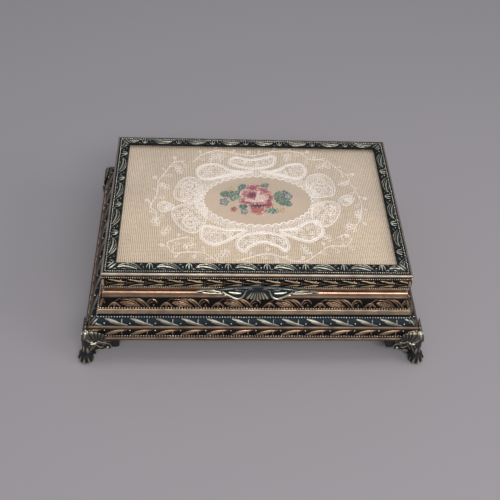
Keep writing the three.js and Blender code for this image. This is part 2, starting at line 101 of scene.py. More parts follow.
class TRINKET_PG_moulding(bpy.types.PropertyGroup):
    """Sizes of the stamped mouldings."""

    carving_step: length_property("Carving step", "Spacing of the mesh across the carved bands", 0.28)
    relief: length_property("Relief", "Height of the leaves above their ground", 0.5)
    top_pitch: length_property("Top scroll pitch", "Repeat of the scroll on the lid's top band", 20.75)
    skirt_pitch: length_property("Skirt leaf pitch", "Repeat of the leaves on the lid's skirt", 10.375)
    frieze_pitch: length_property("Frieze pitch", "Repeat of the acanthus frieze", 28.3)
    base_pitch: length_property("Base leaf pitch", "Repeat of the slanting leaves on the base", 14.1)
    bead_pitch: length_property("Bead pitch", "Distance between the beads of the larger rows", 1.5)
    fine_bead_pitch: length_property("Fine bead pitch", "Distance between the beads of the smaller rows", 1.15)


class TRINKET_PG_finish(bpy.types.PropertyGroup):
    """Colours of the metals and cloths."""

    green_gilt: colour_property("Greened gilt", "Raised gilt with a green cast, on the lid's top band", "dbd6c0")
    green_ground: colour_property("Green ground", "Dark recesses of the lid's top band", "10171a")
    copper_gilt: colour_property("Coppered gilt", "Gilt worn to copper, on the frieze and the leaves", "b18e71")
    copper_ground: colour_property("Copper ground", "Dark recesses of the frieze", "0a0604")
    # The plain gilt is painted lighter: a painted reflection that makes up for the shaded floor which the steep ledge
    # mirrors.
    plain_gilt: colour_property("Plain gilt", "Ledge", "d6ba9a")
    rim_gilt: colour_property("Rim gilt", "Rims and ribs", "756253")
    tube_gilt: colour_property("Tube gilt", "Plain tube below the lid", "ba9072")
    lid_rim_gilt: colour_property("Lid rim gilt", "Half-round rim of the lid", "ae9a87")
    # The skirt gilt is painted lighter than the other gilts to make up for the shade under the lid's rim.
    skirt_gilt_painted_lighter: colour_property("Skirt gilt", "Leaf rows of the lid's skirt", "f8d6aa")
    bead_gilt: colour_property("Bead gilt", "Worn tops of the beads", "f2e6d0")
    # The blue ground is a dark patina tinted blue as a painted reflection of the sky on up-facing faces.
    dark_ground_painted_blue_reflection: colour_property("Blue ground", "Blue-black ground of the upper leaf row", "131d25")
    blue_leaf: colour_property("Pale leaves", "Leaves on the blue ground", "8a8679")
    bronze: colour_property("Bronze", "Dark patina of the feet", "2a2b2a")
    bronze_edge: colour_property("Worn bronze", "Pale gold of the feet's and the lift's worn edges", "d2cab0")
    # The lift's hollow colour is a dark patina tinted blue-grey as a painted reflection of the sky on its upturned
    # face.
    lift_patina_painted_blue_reflection: colour_property("Lift ground", "Blue-grey hollow of the thumb lift", "2b343a")
    velvet: colour_property("Velvet", "Lining of the box and of the lid", "8d744c")


class TRINKET_PG_stage(bpy.types.PropertyGroup):
    """Camera and floor."""

    azimuth: angle_property("Azimuth", "Turn of the camera to the right of the front", -5.516)
    elevation: angle_property("Elevation", "Height of the camera above the horizon", 51.383)
    roll: angle_property("Roll", "Tilt of the camera about its own line of sight", 4.873)
    distance: length_property("Distance", "From the camera to the point it looks at", 449.93)
    target: bpy.props.FloatVectorProperty(
        name="Target", description="Point that the camera looks at", subtype="TRANSLATION", unit="LENGTH",
        size=3, default=(0.0008, 0.01663, -0.0023))
    lens: bpy.props.FloatProperty(
        name="Lens", description="Focal length on a 36 mm sensor, in millimetres", default=48.22)
    floor: colour_property("Floor", "Pale grey table top", "8c8789")


def deselect():
    if bpy.context.mode != "OBJECT":
        bpy.ops.object.mode_set(mode="OBJECT")
    bpy.ops.object.select_all(action="DESELECT")


def activate(*pieces):
    deselect()
    for piece in pieces:
        piece.select_set(True)
    bpy.context.view_layer.objects.active = pieces[0]
    return pieces[0]


def start_piece(name, add, **settings):
    """A new primitive under its own name."""
    deselect()
    add(**settings)
    bpy.context.object.name = name
    return bpy.context.object


def edit(piece, operator, **settings):
    """Runs an edit mode operator on the whole of a piece."""
    activate(piece)
    bpy.ops.object.mode_set(mode="EDIT")
    bpy.ops.mesh.select_all(action="SELECT")
    operator(**settings)
    bpy.ops.object.mode_set(mode="OBJECT")


def modify(piece, kind, **settings):
    """Adds a modifier with its settings and applies it."""
    modifier = piece.modifiers.new(kind.lower(), kind)
    for key, value in settings.items():
        setattr(modifier, key, value)
    activate(piece)
    bpy.ops.object.modifier_apply(modifier=modifier.name)


def join(name, pieces):
    piece = activate(*pieces)
    if len(pieces) > 1:
        bpy.ops.object.join()
    piece.name = name
    piece.data.name = name
    return piece


def smooth(piece, degrees=40):
    activate(piece)
    bpy.ops.object.shade_smooth_by_angle(angle=math.radians(degrees))
    return piece


def place(piece, body, slot, *replaced):
    """Hands a finished piece to the frame."""
    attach(piece, body)
    if replaced:
        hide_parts(*replaced)
    return piece


def box_mm(node):
    """Lowest and highest corner of a frame node, in mm."""
    return [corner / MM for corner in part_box(node)]


def vertex_values(piece, name="co"):
    """The place or, by name, the normal of each vertex."""
    values = np.empty(3 * len(piece.data.vertices))
    piece.data.vertices.foreach_get(name, values)
    return values.reshape(-1, 3)


def move_vertices(piece, points):
    """Puts the vertices at points in mm."""
    piece.data.vertices.foreach_set("co", (points * MM).astype(np.float32).ravel())
    piece.data.update()


def round_faces(piece):
    """Shades every face smooth."""
    piece.data.polygons.foreach_set("use_smooth", [True] * len(piece.data.polygons))


def copy_to(piece, centres):
    """Puts a copy of the piece's form at each centre in mm, all in one mesh of its own."""
    one = vertex_values(piece)
    faces = [list(face.vertices) for face in piece.data.polygons]
    points = (np.asarray(centres)[:, None] * MM + one).reshape(-1, 3)
    copies = [[i + k * len(one) for i in face] for k in range(len(centres)) for face in faces]
    piece.data = bpy.data.meshes.new(piece.name)
    piece.data.from_pydata(points.tolist(), [], copies)
    round_faces(piece)


def around(angle):
    """Points of the unit circle at angles in radians."""
    return np.stack([np.cos(angle), np.sin(angle)], -1)


# Materials


def add_node(tree, kind, settings, output=0):
    """Adds a node and gives one of its outputs. A setting fills a property or a socket, or links another output."""
    node = tree.nodes.new("ShaderNode" + kind)
    for key, value in settings.items():
        if isinstance(value, bpy.types.NodeSocket):
            tree.links.new(value, node.inputs[key])
        elif isinstance(key, str) and hasattr(node, key):
            setattr(node, key, value)
        else:
            socket = node.inputs[key]
            socket.default_value = (*value, 1) if socket.type == "RGBA" else value
    return node.outputs[output] if len(node.outputs) else node


def toned(tree, colour, patches, span, shades):
    """A colour darkened and lightened by patches, whose span of values becomes the span of shades."""
    shade = add_node(tree, "MapRange", {"Value": patches, "From Min": span[0], "From Max": span[1],
                                        "To Min": shades[0], "To Max": shades[1]})
    return add_node(tree, "Mix", {"data_type": "RGBA", "blend_type": "MULTIPLY", "Factor": 1, 6: colour, 7: shade}, 2)


def new_material(name):
    finish = bpy.data.materials.new(name)
    finish.use_nodes = True
    finish.node_tree.nodes.clear()
    return finish, finish.node_tree


def close_material(finish, shader):
    add_node(finish.node_tree, "OutputMaterial", {"Surface": shader})
    return finish


def surface(finish, colour, settings, height, strength, depth, invert=False):
    """Ends a material in a principled shader, bumped by a height as much as depth in mm."""
    tree = finish.node_tree
    normal = add_node(tree, "Bump", {"invert": invert, "Strength": strength, "Distance": depth * MM,
                                     "Height": height})
    shader = add_node(tree, "BsdfPrincipled", {"Base Color": colour, "Normal": normal, **settings})
    return close_material(finish, shader)


def aged_metal(name, raised, ground, roughness=0.34, ground_roughness=0.6, rubbed=(0.22, 0.72), lacquer=0.0):
    """Gilt brass: stamped, gilded and patinated. Raised parts are rubbed bright and recesses stay black and dull."""
    finish, tree = new_material(name)
    coordinates = add_node(tree, "TexCoord", {}, "Object")
    patches = add_node(tree, "TexNoise", {"Scale": 1 / (9 * MM), "Detail": 5, "Roughness": 0.6,
                                         "Vector": coordinates})
    grain = add_node(tree, "TexNoise", {"Scale": 1 / (0.7 * MM), "Detail": 4, "Roughness": 0.65,
                                       "Vector": coordinates})
    relief = add_node(tree, "Attribute", {"attribute_name": "relief"}, "Fac")
    worn = add_node(tree, "Math", {"operation": "MULTIPLY_ADD", 0: grain, 1: 0.35, 2: -0.17})
    height = add_node(tree, "Math", {"operation": "ADD", 0: relief, 1: worn})
    mask = add_node(tree, "MapRange", {"interpolation_type": "SMOOTHSTEP", "Value": height,
                                       "From Min": rubbed[0], "From Max": rubbed[1]})
    gilt = toned(tree, raised, patches, (0.38, 0.68), (0.62, 1.08))
    colour = add_node(tree, "Mix", {"data_type": "RGBA", "Factor": mask, 6: ground, 7: gilt}, 2)
    dullness = add_node(tree, "MapRange", {"Value": mask, "To Min": ground_roughness, "To Max": roughness})
    uneven = add_node(tree, "Math", {"operation": "MULTIPLY_ADD", 0: grain, 1: 0.18, 2: -0.09})
    rough = add_node(tree, "Math", {"operation": "ADD", 0: dullness, 1: uneven})
    metallic = add_node(tree, "MapRange", {"Value": mask, "To Min": 0.7, "To Max": 0.96})
    shine = {"Roughness": rough, "Metallic": metallic, "Coat Weight": lacquer, "Coat Roughness": 0.25}
    return surface(finish, colour, shine, grain, 0.25, 0.12)


# The moulding metals in the order of their slots: name, colours of what stands out and of the ground, finish.
METAL_RECIPES = {
    "green": ("greened_gilt_brass", "green_gilt", "green_ground", {"roughness": 0.36, "rubbed": (0.36, 0.86)}),
    "copper": ("coppered_gilt_brass", "copper_gilt", "copper_ground", {"roughness": 0.38}),
    # Plain: its colour is painted lighter as a reflection for the steep ledge.
    "plain": ("plain_gilt_brass_painted_lighter", "plain_gilt", "copper_ground", {"roughness": 0.42}),
    "rim": ("worn_gilt_rims", "rim_gilt", "copper_ground", {"roughness": 0.46}),
    "tube": ("polished_copper_gilt_tube", "tube_gilt", "copper_ground", {"roughness": 0.33, "lacquer": 1.0}),
    "lid_rim": ("worn_gilt_lid_rim", "lid_rim_gilt", "copper_ground", {"roughness": 0.44, "lacquer": 0.3}),
    # Skirt: rubbed gilt, its colour painted lighter against the shade under the rim.
    "skirt": ("rubbed_gilt_skirt_painted_lighter", "skirt_gilt_painted_lighter", "copper_ground", {"roughness": 0.4}),
    "bead": ("rubbed_gilt_beads", "bead_gilt", "copper_ground", {"roughness": 0.28}),
    # Blue: its dark ground is tinted blue as a painted reflection of the sky. It is used on the lid rim's top, the
    # wall's foot and the base's upper band.
    "blue": ("gilt_brass_painted_blue_reflection", "blue_leaf", "dark_ground_painted_blue_reflection", {"roughness": 0.42}),
}
SLOTS = list(METAL_RECIPES)
METALS = []


def make_metals():
    colours = bpy.context.scene.trinket_finish
    for name, raised, ground, shine in METAL_RECIPES.values():
        METALS.append(aged_metal(name, getattr(colours, raised), getattr(colours, ground), **shine))


def take_metals(piece, slots):
    """Gives a piece the moulding metals, with a slot for each face."""
    for metal in METALS:
        piece.data.materials.append(metal)
    piece.data.polygons.foreach_set("material_index", slots)


# Carving: each stroke is one leaf, rib or stem of a motif. Its line runs through three points, given as shares of
# the repeat along the moulding and of the band across it, then come its half width in mm and its height.
TOP_STROKES = (
    ((0.42, 0.5), (0.6, -0.25), (0.93, 0.8), 0.32, 0.95), ((0.4, 0.66), (0.6, 0.3), (0.9, 0.92), 0.56, 1.0),
    ((0.42, 0.82), (0.6, 0.94), (0.82, 0.97), 0.25, 0.8), ((0.62, 0.08), (0.82, -0.15), (1.0, 0.95), 0.33, 0.95),
    ((0.96, 0.4), (1.01, 0.0), (1.04, 0.4), 0.25, 0.8), ((1.055, 0.62), (1.06, 0.62), (1.065, 0.62), 0.45, 1.0),
    ((1.215, 0.04), (1.215, 0.5), (1.213, 0.92), 0.46, 1.0), ((1.2, 0.12), (1.14, 0.24), (1.135, 0.84), 0.36, 0.95),
    ((1.23, 0.12), (1.29, 0.24), (1.295, 0.84), 0.36, 0.95), ((1.31, 1.02), (1.35, 0.66), (1.39, 1.02), 0.25, 0.9),
    ((1.3, 0.04), (1.37, 0.0), (1.41, 0.4), 0.26, 0.7), ((1.0, 1.02), (1.05, 0.86), (1.1, 1.02), 0.24, 0.7),
)
SKIRT_STROKES = (
    ((0.27, 0.08), (0.6, 0.16), (1.0, 0.36), 0.4, 0.8), ((0.58, 0.2), (0.8, 0.32), (1.04, 0.35), 0.62, 1.0),
    ((0.885, 0.14), (0.89, 0.16), (0.9, 0.24), 0.36, 1.1), ((0.3, 0.9), (0.6, 0.78), (1.0, 0.68), 0.4, 0.8),
    ((0.58, 0.78), (0.8, 0.7), (1.04, 0.68), 0.6, 1.0), ((0.885, 0.86), (0.89, 0.84), (0.9, 0.76), 0.36, 1.1),
    ((0.02, 0.5), (0.3, 0.48), (0.62, 0.5), 0.3, 0.55), ((1.14, 0.3), (1.145, 0.3), (1.15, 0.3), 0.3, 0.8),
    ((1.14, 0.72), (1.145, 0.72), (1.15, 0.72), 0.3, 0.8),
)
FRIEZE_STROKES = (
    ((-0.085, 0.78), (0, 0.3), (0.085, 0.78), 0.95, 0.9), ((0, 0.5), (0, 0.7), (0, 1.04), 0.7, 1.0),
    ((-0.06, 0.7), (-0.1, 0.8), (-0.115, 1.0), 0.5, 0.95), ((0.06, 0.7), (0.1, 0.8), (0.12, 1.0), 0.5, 0.95),
    ((0.02, 0.32), (0.27, -0.72), (0.52, 1.02), 0.3, 0.85), ((0.13, 0.16), (0.34, -0.1), (0.49, 0.98), 0.3, 0.85),
    ((0.12, 0.44), (0.26, 0.1), (0.47, 0.9), 0.42, 1.0), ((0.13, 0.52), (0.27, 0.4), (0.45, 0.98), 0.42, 0.9),
    ((0.16, 0.66), (0.28, 0.62), (0.41, 1.02), 0.42, 0.8), ((0.2, 0.86), (0.27, 0.84), (0.34, 1.02), 0.4, 0.8),
    ((0.3, 0.0), (0.5, 0.1), (0.6, 1.04), 0.34, 0.9), ((0.41, 0.03), (0.58, 0.2), (0.655, 0.98), 0.62, 1.0),
    ((0.62, 0.66), (0.66, 0.0), (0.75, 0.12), 0.42, 1.0), ((0.74, 0.1), (0.81, 0.2), (0.825, 0.52), 0.42, 1.0),
    ((0.65, 0.74), (0.68, 0.34), (0.76, 0.34), 0.26, 0.75), ((0.66, 0.84), (0.67, 0.9), (0.665, 1.06), 0.36, 0.9),
    ((0.755, 0.68), (0.757, 0.72), (0.759, 0.76), 0.5, 1.0), ((0.72, 1.02), (0.76, 0.94), (0.8, 1.02), 0.28, 0.7),
)
UPPER_STROKES = (
    ((0.05, 0.1), (0.3, 0.32), (0.66, 0.78), 1.02, 1.0), ((0.22, 0.52), (0.44, 0.74), (0.84, 0.97), 0.62, 0.85),
    ((0.7, 0.12), (0.66, 0.5), (0.72, 0.84), 0.42, 0.9), ((0.58, 0.62), (0.74, 0.86), (0.92, 0.94), 0.5, 1.0),
)
LOWER_STROKES = tuple(
    tuple((x, 1 - y) for x, y in line[:3]) + line[3:] for line in UPPER_STROKES)
CORNER_REACH = 2.4
EDGE_FADE = 0.2


def curve_points(line, count):
    """Points along the parabola through a stroke's first, pull and last point."""
    a, b, c = (np.array(p, float) for p in line[:3])
    t = np.linspace(0, 1, count)[:, None]
    return (1 - t) ** 2 * a + 2 * t * (1 - t) * b + t ** 2 * c


def stroke_height(x, y, line, size, samples=9):
    """Height of one stroke over points x, y in mm: a leaf, widest behind its middle, with a fine vein."""
    spine = curve_points(line, samples) * np.array(size)
    half_width, peak = line[3:]
    height = np.zeros_like(x)
    for i in range(samples - 1):
        start, step = spine[i], spine[i + 1] - spine[i]
        length = max(float(step @ step), 1e-9)
        along = np.clip(((x - start[0]) * step[0] + (y - start[1]) * step[1]) / length, 0, 1)
        gap = np.hypot(x - start[0] - along * step[0], y - start[1] - along * step[1])
        share = (i + along) / (samples - 1)
        reach = half_width * (0.45 + 0.55 * np.sin(np.pi * np.clip(share * 0.92 + 0.08, 0, 1)))
        dome = np.sqrt(np.clip(1 - (gap / reach) ** 2, 0, 1))
        vein = 1 - 0.3 * np.exp(-(gap / (0.16 * half_width)) ** 2)
        height = np.maximum(height, peak * dome * vein)
    return height


def carved_height(along, across, width, mitre_gap, strokes, pitch, phase=0):
    """Share of the full relief at each point of a carved band."""
    place_in_repeat = np.mod(along - phase, pitch)
    height = np.zeros_like(along)
    for line in strokes:
        for repeat in (-1, 0, 1):
            x = place_in_repeat + repeat * pitch
            low = min(p[0] for p in line[:3]) * pitch - line[3]
            high = max(p[0] for p in line[:3]) * pitch + line[3]
            near = (x > low) & (x < high)
            if near.any():
                found = stroke_height(x[near], across[near], line, (pitch, width))
                height[near] = np.maximum(height[near], found)
    corner = np.sqrt(np.clip(1 - ((mitre_gap - 0.5 * CORNER_REACH) / (0.36 * CORNER_REACH)) ** 2, 0, 1))
    taper = np.sin(np.pi * np.clip(across / width, 0, 1)) ** 0.4
    return np.where(mitre_gap < CORNER_REACH, 0.8 * corner * taper, height)


# Raised rows take the gilt and sunk rows the black ground: real blackened grooves, and on the base's rolled rim its
# underside, where the black is painted shade.
RAISED, SUNK_OR_SHADED = -1, -2


class Section:
    """Rows of a moulding's section, each with its place, its metal and, on a carved band, its place across it."""

    def __init__(self, origin, size):
        self.origin, self.size = np.array(origin, float), np.array(size, float)
        self.step = bpy.context.scene.trinket_moulding.carving_step / MM
        self.rows, self.bands, self.beads = [], [], []

    def at(self, share):
        return self.origin + np.array(share, float) * self.size

    def run(self, metal, *shares, band=RAISED):
        """Straight lines through points."""
        self.rows += [(*self.at(share), metal, band, 0) for share in shares]

    def groove(self, metal, *shares):
        """A sunk strip, blackened, on which beads stand."""
        self.run(metal, *shares, band=SUNK_OR_SHADED)

    def turn(self, metal, centre_share, radius, start, end, steps=9, band=RAISED):
        """A round, given in degrees from straight outwards, anticlockwise."""
        line = self.at(centre_share) + radius * around(np.radians(np.linspace(start, end, steps)))
        self.rows += [(*point, metal, band, 0) for point in line]

    def carve(self, metal, start_share, end_share, bulge, relief_share, strokes, pitch, phase=0):
        """A gently bulging band with carving on it."""
        start, end = self.at(start_share), self.at(end_share)
        width = float(np.hypot(*(end - start)))
        normal = np.array([-(end - start)[1], (end - start)[0]]) / width
        count = int(round(width / self.step))
        for share in np.arange(count + 1) / count:
            point = start + (end - start) * share + normal * bulge * 4 * share * (1 - share)
            self.rows.append((*point, metal, len(self.bands), share * width))
        self.bands.append((strokes, pitch / MM, phase, width, relief_share))

    def bead_row(self, centre_share, radius, pitch, phase=None):
        """Beads spread evenly along the side, or in step with a carved band where a phase is given."""
        self.beads.append((*self.at(centre_share), radius, pitch / MM, phase))


def turned(points, quarter_turns):
    """Points of the front side turned to another side."""
    c, s = around(quarter_turns * QUARTER)
    return points @ np.array([[c, s, 0], [-s, c, 0], [0, 0, 1]])


def pressed_grid(name, points):
    """A grid primitive whose vertices are pressed to points[column, row], in mm."""
    columns, rows, _ = points.shape
    piece = start_piece(name, bpy.ops.mesh.primitive_grid_add, x_subdivisions=columns - 1, y_subdivisions=rows - 1,
                        size=1)
    move_vertices(piece, points.transpose(1, 0, 2).astype(np.float32))
    return piece


def set_relief(piece, values):
    attribute = piece.data.attributes.get("relief") or piece.data.attributes.new("relief", "FLOAT", "POINT")
    attribute.data.foreach_set("value", np.asarray(values, np.float32).ravel())


def close_ends(piece):
    """Joins the section's first and last rows and caps its two ends."""
    edit(piece, bpy.ops.mesh.remove_doubles, threshold=0.002 * MM)
    edit(piece, bpy.ops.mesh.fill_holes, sides=0)


def bead_piece(name, centres, radius):
    """A row of beads, copied from one sphere of a few dozen faces."""
    piece = start_piece(name, bpy.ops.mesh.primitive_uv_sphere_add, segments=8, ring_count=5, radius=radius * MM)
    copy_to(piece, centres)
    take_metals(piece, [SLOTS.index("bead")] * len(piece.data.polygons))
    set_relief(piece, np.ones(len(piece.data.vertices)))
    return piece


def bead_places(reach, pitch, phase):
    """Where beads stand along a side that reaches as far to both ends."""
    count = int(round(2 * reach / pitch))
    if phase is None:
        return (np.arange(count) + 0.5) / count * 2 * reach - reach
    places = phase + pitch * np.arange(-count, count)
    return places[np.abs(places) < reach - CORNER_REACH]


def moulding_strip(name, section, side_index, relief):
    """One mitred length of a moulding: its section run along the side, with carving and beads."""
    half, other = (HALF_LENGTH, HALF_DEPTH) if side_index % 2 == 0 else (HALF_DEPTH, HALF_LENGTH)
    out, up = np.array([row[:2] for row in section.rows]).T
    band, across = np.array([row[3:] for row in section.rows]).T
    step_out, step_up = np.gradient(out), np.gradient(up)
    length = np.maximum(np.hypot(step_out, step_up), 1e-9)
    columns = int(round(2 * (half + out.max()) / section.step))
    share = np.linspace(1, -1, columns)[:, None]
    height = np.zeros((columns, len(out)))
    depth = np.zeros(len(out))
    for index, (strokes, pitch, phase, width, relief_share) in enumerate(section.bands):
        rows = np.nonzero(band == index)[0]
        along = share * (half + out[rows])
        edge = np.minimum(across[rows], width - across[rows])
        found = carved_height(along, np.broadcast_to(across[rows], along.shape), width,
                              half + out[rows] - np.abs(along), strokes, pitch, phase)
        height[:, rows] = found * np.clip(edge / EDGE_FADE, 0, 1)
        depth[rows] = relief * relief_share
    moved_out = out - depth * height * step_up / length
    moved_up = up + depth * height * step_out / length
    points = np.stack([share * (half + moved_out), -(other + moved_out), moved_up], 2)
    piece = pressed_grid(name, turned(points, side_index))
    take_metals(piece, np.repeat([SLOTS.index(row[2]) for row in section.rows[1:]], columns - 1))
    set_relief(piece, np.where(band >= 0, height, np.where(band == SUNK_OR_SHADED, 0.0, 1.0)).transpose(1, 0))
    close_ends(piece)
    smooth(piece)
    parts = [piece]
    for bead_out, bead_up, radius, pitch, phase in section.beads:
        centres = [(x, -(other + bead_out), bead_up) for x in bead_places(half + bead_out, pitch, phase)]
        parts.append(bead_piece(f"{name}_beads", turned(np.array(centres), side_index), radius))
    return join(name, parts)


def lid_section():
    """Carved top band, beads, half-round rim, skirt with two leaf rows between beads, thin lower rim."""
    s = bpy.context.scene.trinket_moulding
    section = Section((0, LID_LOW), (BAND_WIDTH, LID_TOP - LID_LOW))
    section.groove("green", (-0.88, 0.915), (-1.07, 0.92), (-1.07, 0.975), (-1.05, 0.992))
    section.carve("green", (-1.03, 1), (-0.39, 0.967), 0.1, 0.8, TOP_STROKES, s.top_pitch)
    section.groove("green", (-0.37, 0.945), (-0.3, 0.932), (-0.22, 0.928))
    # The rim's upward-facing arc takes the blue metal, whose blue is a painted reflection of the sky.
    for metal, start, end, steps, band in (("blue", 118, 108, 2, SUNK_OR_SHADED), ("blue", 100, 86, 2, RAISED),
                                           ("lid_rim", 76, -60, 10, RAISED)):
        section.turn(metal, (-0.09, 0.866), 0.95, start, end, steps, band)
    section.groove("copper", (0.0, 0.765), (0.015, 0.735), (0.025, 0.68))
    # The skirt's leaves take the skirt gilt, painted lighter against the shade under the rim.
    section.carve("skirt", (0.04, 0.655), (0.1, 0.2), 0.3, 0.75, SKIRT_STROKES, s.skirt_pitch, 1.0)
    section.groove("copper", (0.1, 0.18), (0.085, 0.14), (0.07, 0.11))
    section.turn("rim", (0.052, 0.05), 0.6, 78, -80, 8)
    section.run("copper", (-0.06, 0.01), (0, 0.187), (0.022, 0.343), (0.01, 0.5), (-0.045, 0.66),
                (-0.105, 0.79), (-0.24, 0.88), (-0.88, 0.94), (-0.88, 0.915))
    for place_on in ((-0.29, 0.94), (0.03, 0.715), (0.09, 0.15)):
        section.bead_row(place_on, 0.36, s.fine_bead_pitch)
    return section


def wall_section():
    """Seat, plain tube, cove with a fine rib, acanthus frieze, beads and the sloping gilt ledge."""
    s = bpy.context.scene.trinket_moulding
    section = Section((-SEAT_INSET, WALL_LOW), (WALL_FLARE, WALL_TOP - WALL_LOW))
    section.run("tube", (0, 1))
    section.turn("tube", (0.153, 0.804), 1.6, 129, -65, 20)
    section.turn("rim", (0.351, 0.686), 0.5, 80, -40, 6)
    section.groove("copper", (0.42, 0.668), (0.45, 0.665))
    section.carve("copper", (0.475, 0.66), (0.735, 0.36), 0.4, 1.1, FRIEZE_STROKES, s.frieze_pitch, 7.05)
    section.groove("copper", (0.742, 0.34), (0.752, 0.31), (0.77, 0.275))
    section.turn("plain", (0.835, 0.238), 0.28, 125, -30, 6)
    section.run("plain", (0.884, 0.205), (0.95, 0.1))
    section.groove("blue", (0.953, 0.095), (0.985, 0.045), (1, 0.026), (1, 0))
    section.run("plain", (0.878, 0), (0.878, 0.045), (0.7, 0.23), (0.64, 0.33), (0.6, 0.43), (0.4, 0.58),
                (0.24, 0.64), (-0.122, 0.77), (-0.122, 1), (0, 1))
    section.bead_row((0.765, 0.305), 0.46, s.bead_pitch)
    return section


def base_section():
    """Beads, leaves on a dark ground with a painted blue reflection, half-round rib, mirrored leaves, beads and the
    rolled rim.
    """
    s = bpy.context.scene.trinket_moulding
    section = Section((WALL_FOOT, BASE_LOW), (BASE_FLARE, BASE_TOP - BASE_LOW))
    section.run("plain", (-0.376, 1))
    section.groove("blue", (-0.05, 1), (0, 0.995), (0.06, 0.97))
    section.carve("blue", (0.08, 0.96), (0.47, 0.73), 0.4, 0.9, UPPER_STROKES, s.base_pitch, 0.3)
    section.turn("rim", (0.503, 0.641), 1.1, 78, -58, 14)
    section.carve("copper", (0.595, 0.57), (0.785, 0.33), 0.35, 0.8, LOWER_STROKES, s.base_pitch, 0.2)
    section.groove("copper", (0.795, 0.3), (0.805, 0.26), (0.825, 0.205))
    section.turn("rim", (0.884, 0.109), 1.0, 105, -15, 9)
    # The underside of the rolled rim takes the black ground: painted shade under the roll.
    section.turn("rim", (0.884, 0.109), 1.0, -38, -75, 3, SUNK_OR_SHADED)
    section.run("rim", (0.884, 0), (0.434, 0), (0.434, 0.0625), (0.795, 0.0625), (0.72, 0.24), (0.62, 0.46),
                (0.42, 0.66), (0.25, 0.82), (0, 0.9375), (-0.376, 0.9375), (-0.376, 1))
    section.bead_row((0.03, 0.995), 0.46, s.bead_pitch)
    section.bead_row((0.38, 0.815), 0.5, s.base_pitch, 0.3)
    section.bead_row((0.65, 0.53), 0.46, s.base_pitch, 0.2)
    section.bead_row((0.818, 0.255), 0.44, s.bead_pitch)
    return section


class TRINKET_OT_mouldings(bpy.types.Operator):
    """Press the lid, wall and base mouldings, four mitred lengths of each"""

    bl_idname = "mesh.trinket_mouldings"
    bl_label = "Mouldings"

    def execute(self, context):
        make_metals()
        relief = context.scene.trinket_moulding.relief / MM
        for name, section, body, slot in (("lid_moulding", lid_section(), "lid", "aged_gilt"),
                                          ("body_wall", wall_section(), "box", "aged_gilt"),
                                          ("base_moulding", base_section(), "box", "dark_gilt")):
            for side_index, side in enumerate(SIDES):
                piece = moulding_strip(f"{name}_{side}_carved", section, side_index, relief)
                place(piece, body, slot, f"{name}_{side}")
        return {"FINISHED"}


# Lace panel


class TRINKET_PG_lace(bpy.types.PropertyGroup):
    """Sizes and colours of the needlework under the glass."""

    net_pitch: length_property("Net pitch", "Spacing of the net's ribs", 1.06)
    cord_radius: length_property("Cord radius", "Outline cord of the lace", 0.3)
    thread_radius: length_property("Thread radius", "Thread of the lace filling", 0.2)
    ring_pitch: length_property("Ring pitch", "Spacing of the looped filling", 1.95)
    stitch_pitch: length_property("Stitch pitch", "Spacing of the rose's stitches", 0.5)
    net: colour_property("Net", "Aged cotton net", "e7cfb5")
    # The net's gap colour is painted shade in its gaps and stands for the card seen through them.
    net_gap_painted_shade: colour_property("Net shade", "Gaps of the net", "ae947b")
    canvas: colour_property("Canvas", "Fine canvas of the medallion", "d0b69e")
    lace: colour_property("Lace", "White cotton lace thread", "fbeee4")


CLOTH_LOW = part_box("lace_panel")[0].z / MM
CLOTH_LEVEL = CLOTH_LOW + 0.3
CANVAS_LEVEL = CLOTH_LOW + 0.34
CLOTH_THICKNESS = 0.12
OVAL_CENTRE = (1.5, 2.6)
OVAL_REACH = (31.6, 19.1)

# Closed outlines of the scrolled lobes round the oval, in mm on the panel.
LOBES = (
    ((-6.7, -20.7), (-15.2, -27.6), (-24.4, -31.3), (-30.8, -26.7), (-30.9, -19.3), (-27.2, -17.4), (-18, -20)),
    ((13, -20.9), (22.1, -26.3), (30.4, -28), (37.6, -21.7), (35.5, -13.6), (29.7, -13.7), (22, -18.5)),
    ((34.7, -1.3), (42.9, 2.2), (48.9, -1), (46.4, -10.2), (40, -16.7), (33.5, -14.3), (33, -8)),
    ((33.4, 6.7), (39.3, 6.2), (46.5, 8.4), (46.6, 18.1), (41.1, 24.3), (33, 22), (31.5, 14)),
    ((3.7, 26.1), (12.8, 27.1), (21.3, 32.4), (29.5, 32.7), (31.6, 26.2), (26.7, 20.5), (16, 22.8)),
    ((-0.4, 26), (-12.5, 26.4), (-22.5, 31.9), (-31.6, 30.2), (-34.5, 24.3), (-30, 18.5), (-16, 22)),
    ((-31.3, 9.5), (-33, 17.3), (-39.4, 20), (-45.1, 14.3), (-46.7, 4.8), (-40.8, 0.9), (-33, 2)),
    ((-30.5, -1.8), (-40.7, -1.7), (-47.2, -5.8), (-46, -13.4), (-40.2, -20.7), (-33.7, -21.8), (-29, -13)),
    ((-47.3, -3.2), (-53.2, 0), (-55.9, -3.4), (-52.8, -7.2)), ((49.4, 3.1), (54.4, 7.2), (58, 4.6), (53.5, -0.2)),
    ((-10.7, -33.5), (-11.5, -29.9), (-7.7, -24.4), (3.6, -21.9), (14.7, -24.6), (17.5, -31.8), (15, -35.4),
     (11, -31.9), (3.3, -29.1), (-3.8, -32.2), (-7.1, -36)),
    ((-13.4, 31.4), (-14.4, 35.8), (-10.2, 38.1), (-1.1, 36.2), (11.5, 39.6), (13.4, 37.4), (11, 31.4), (-0.3, 28.2)),
)
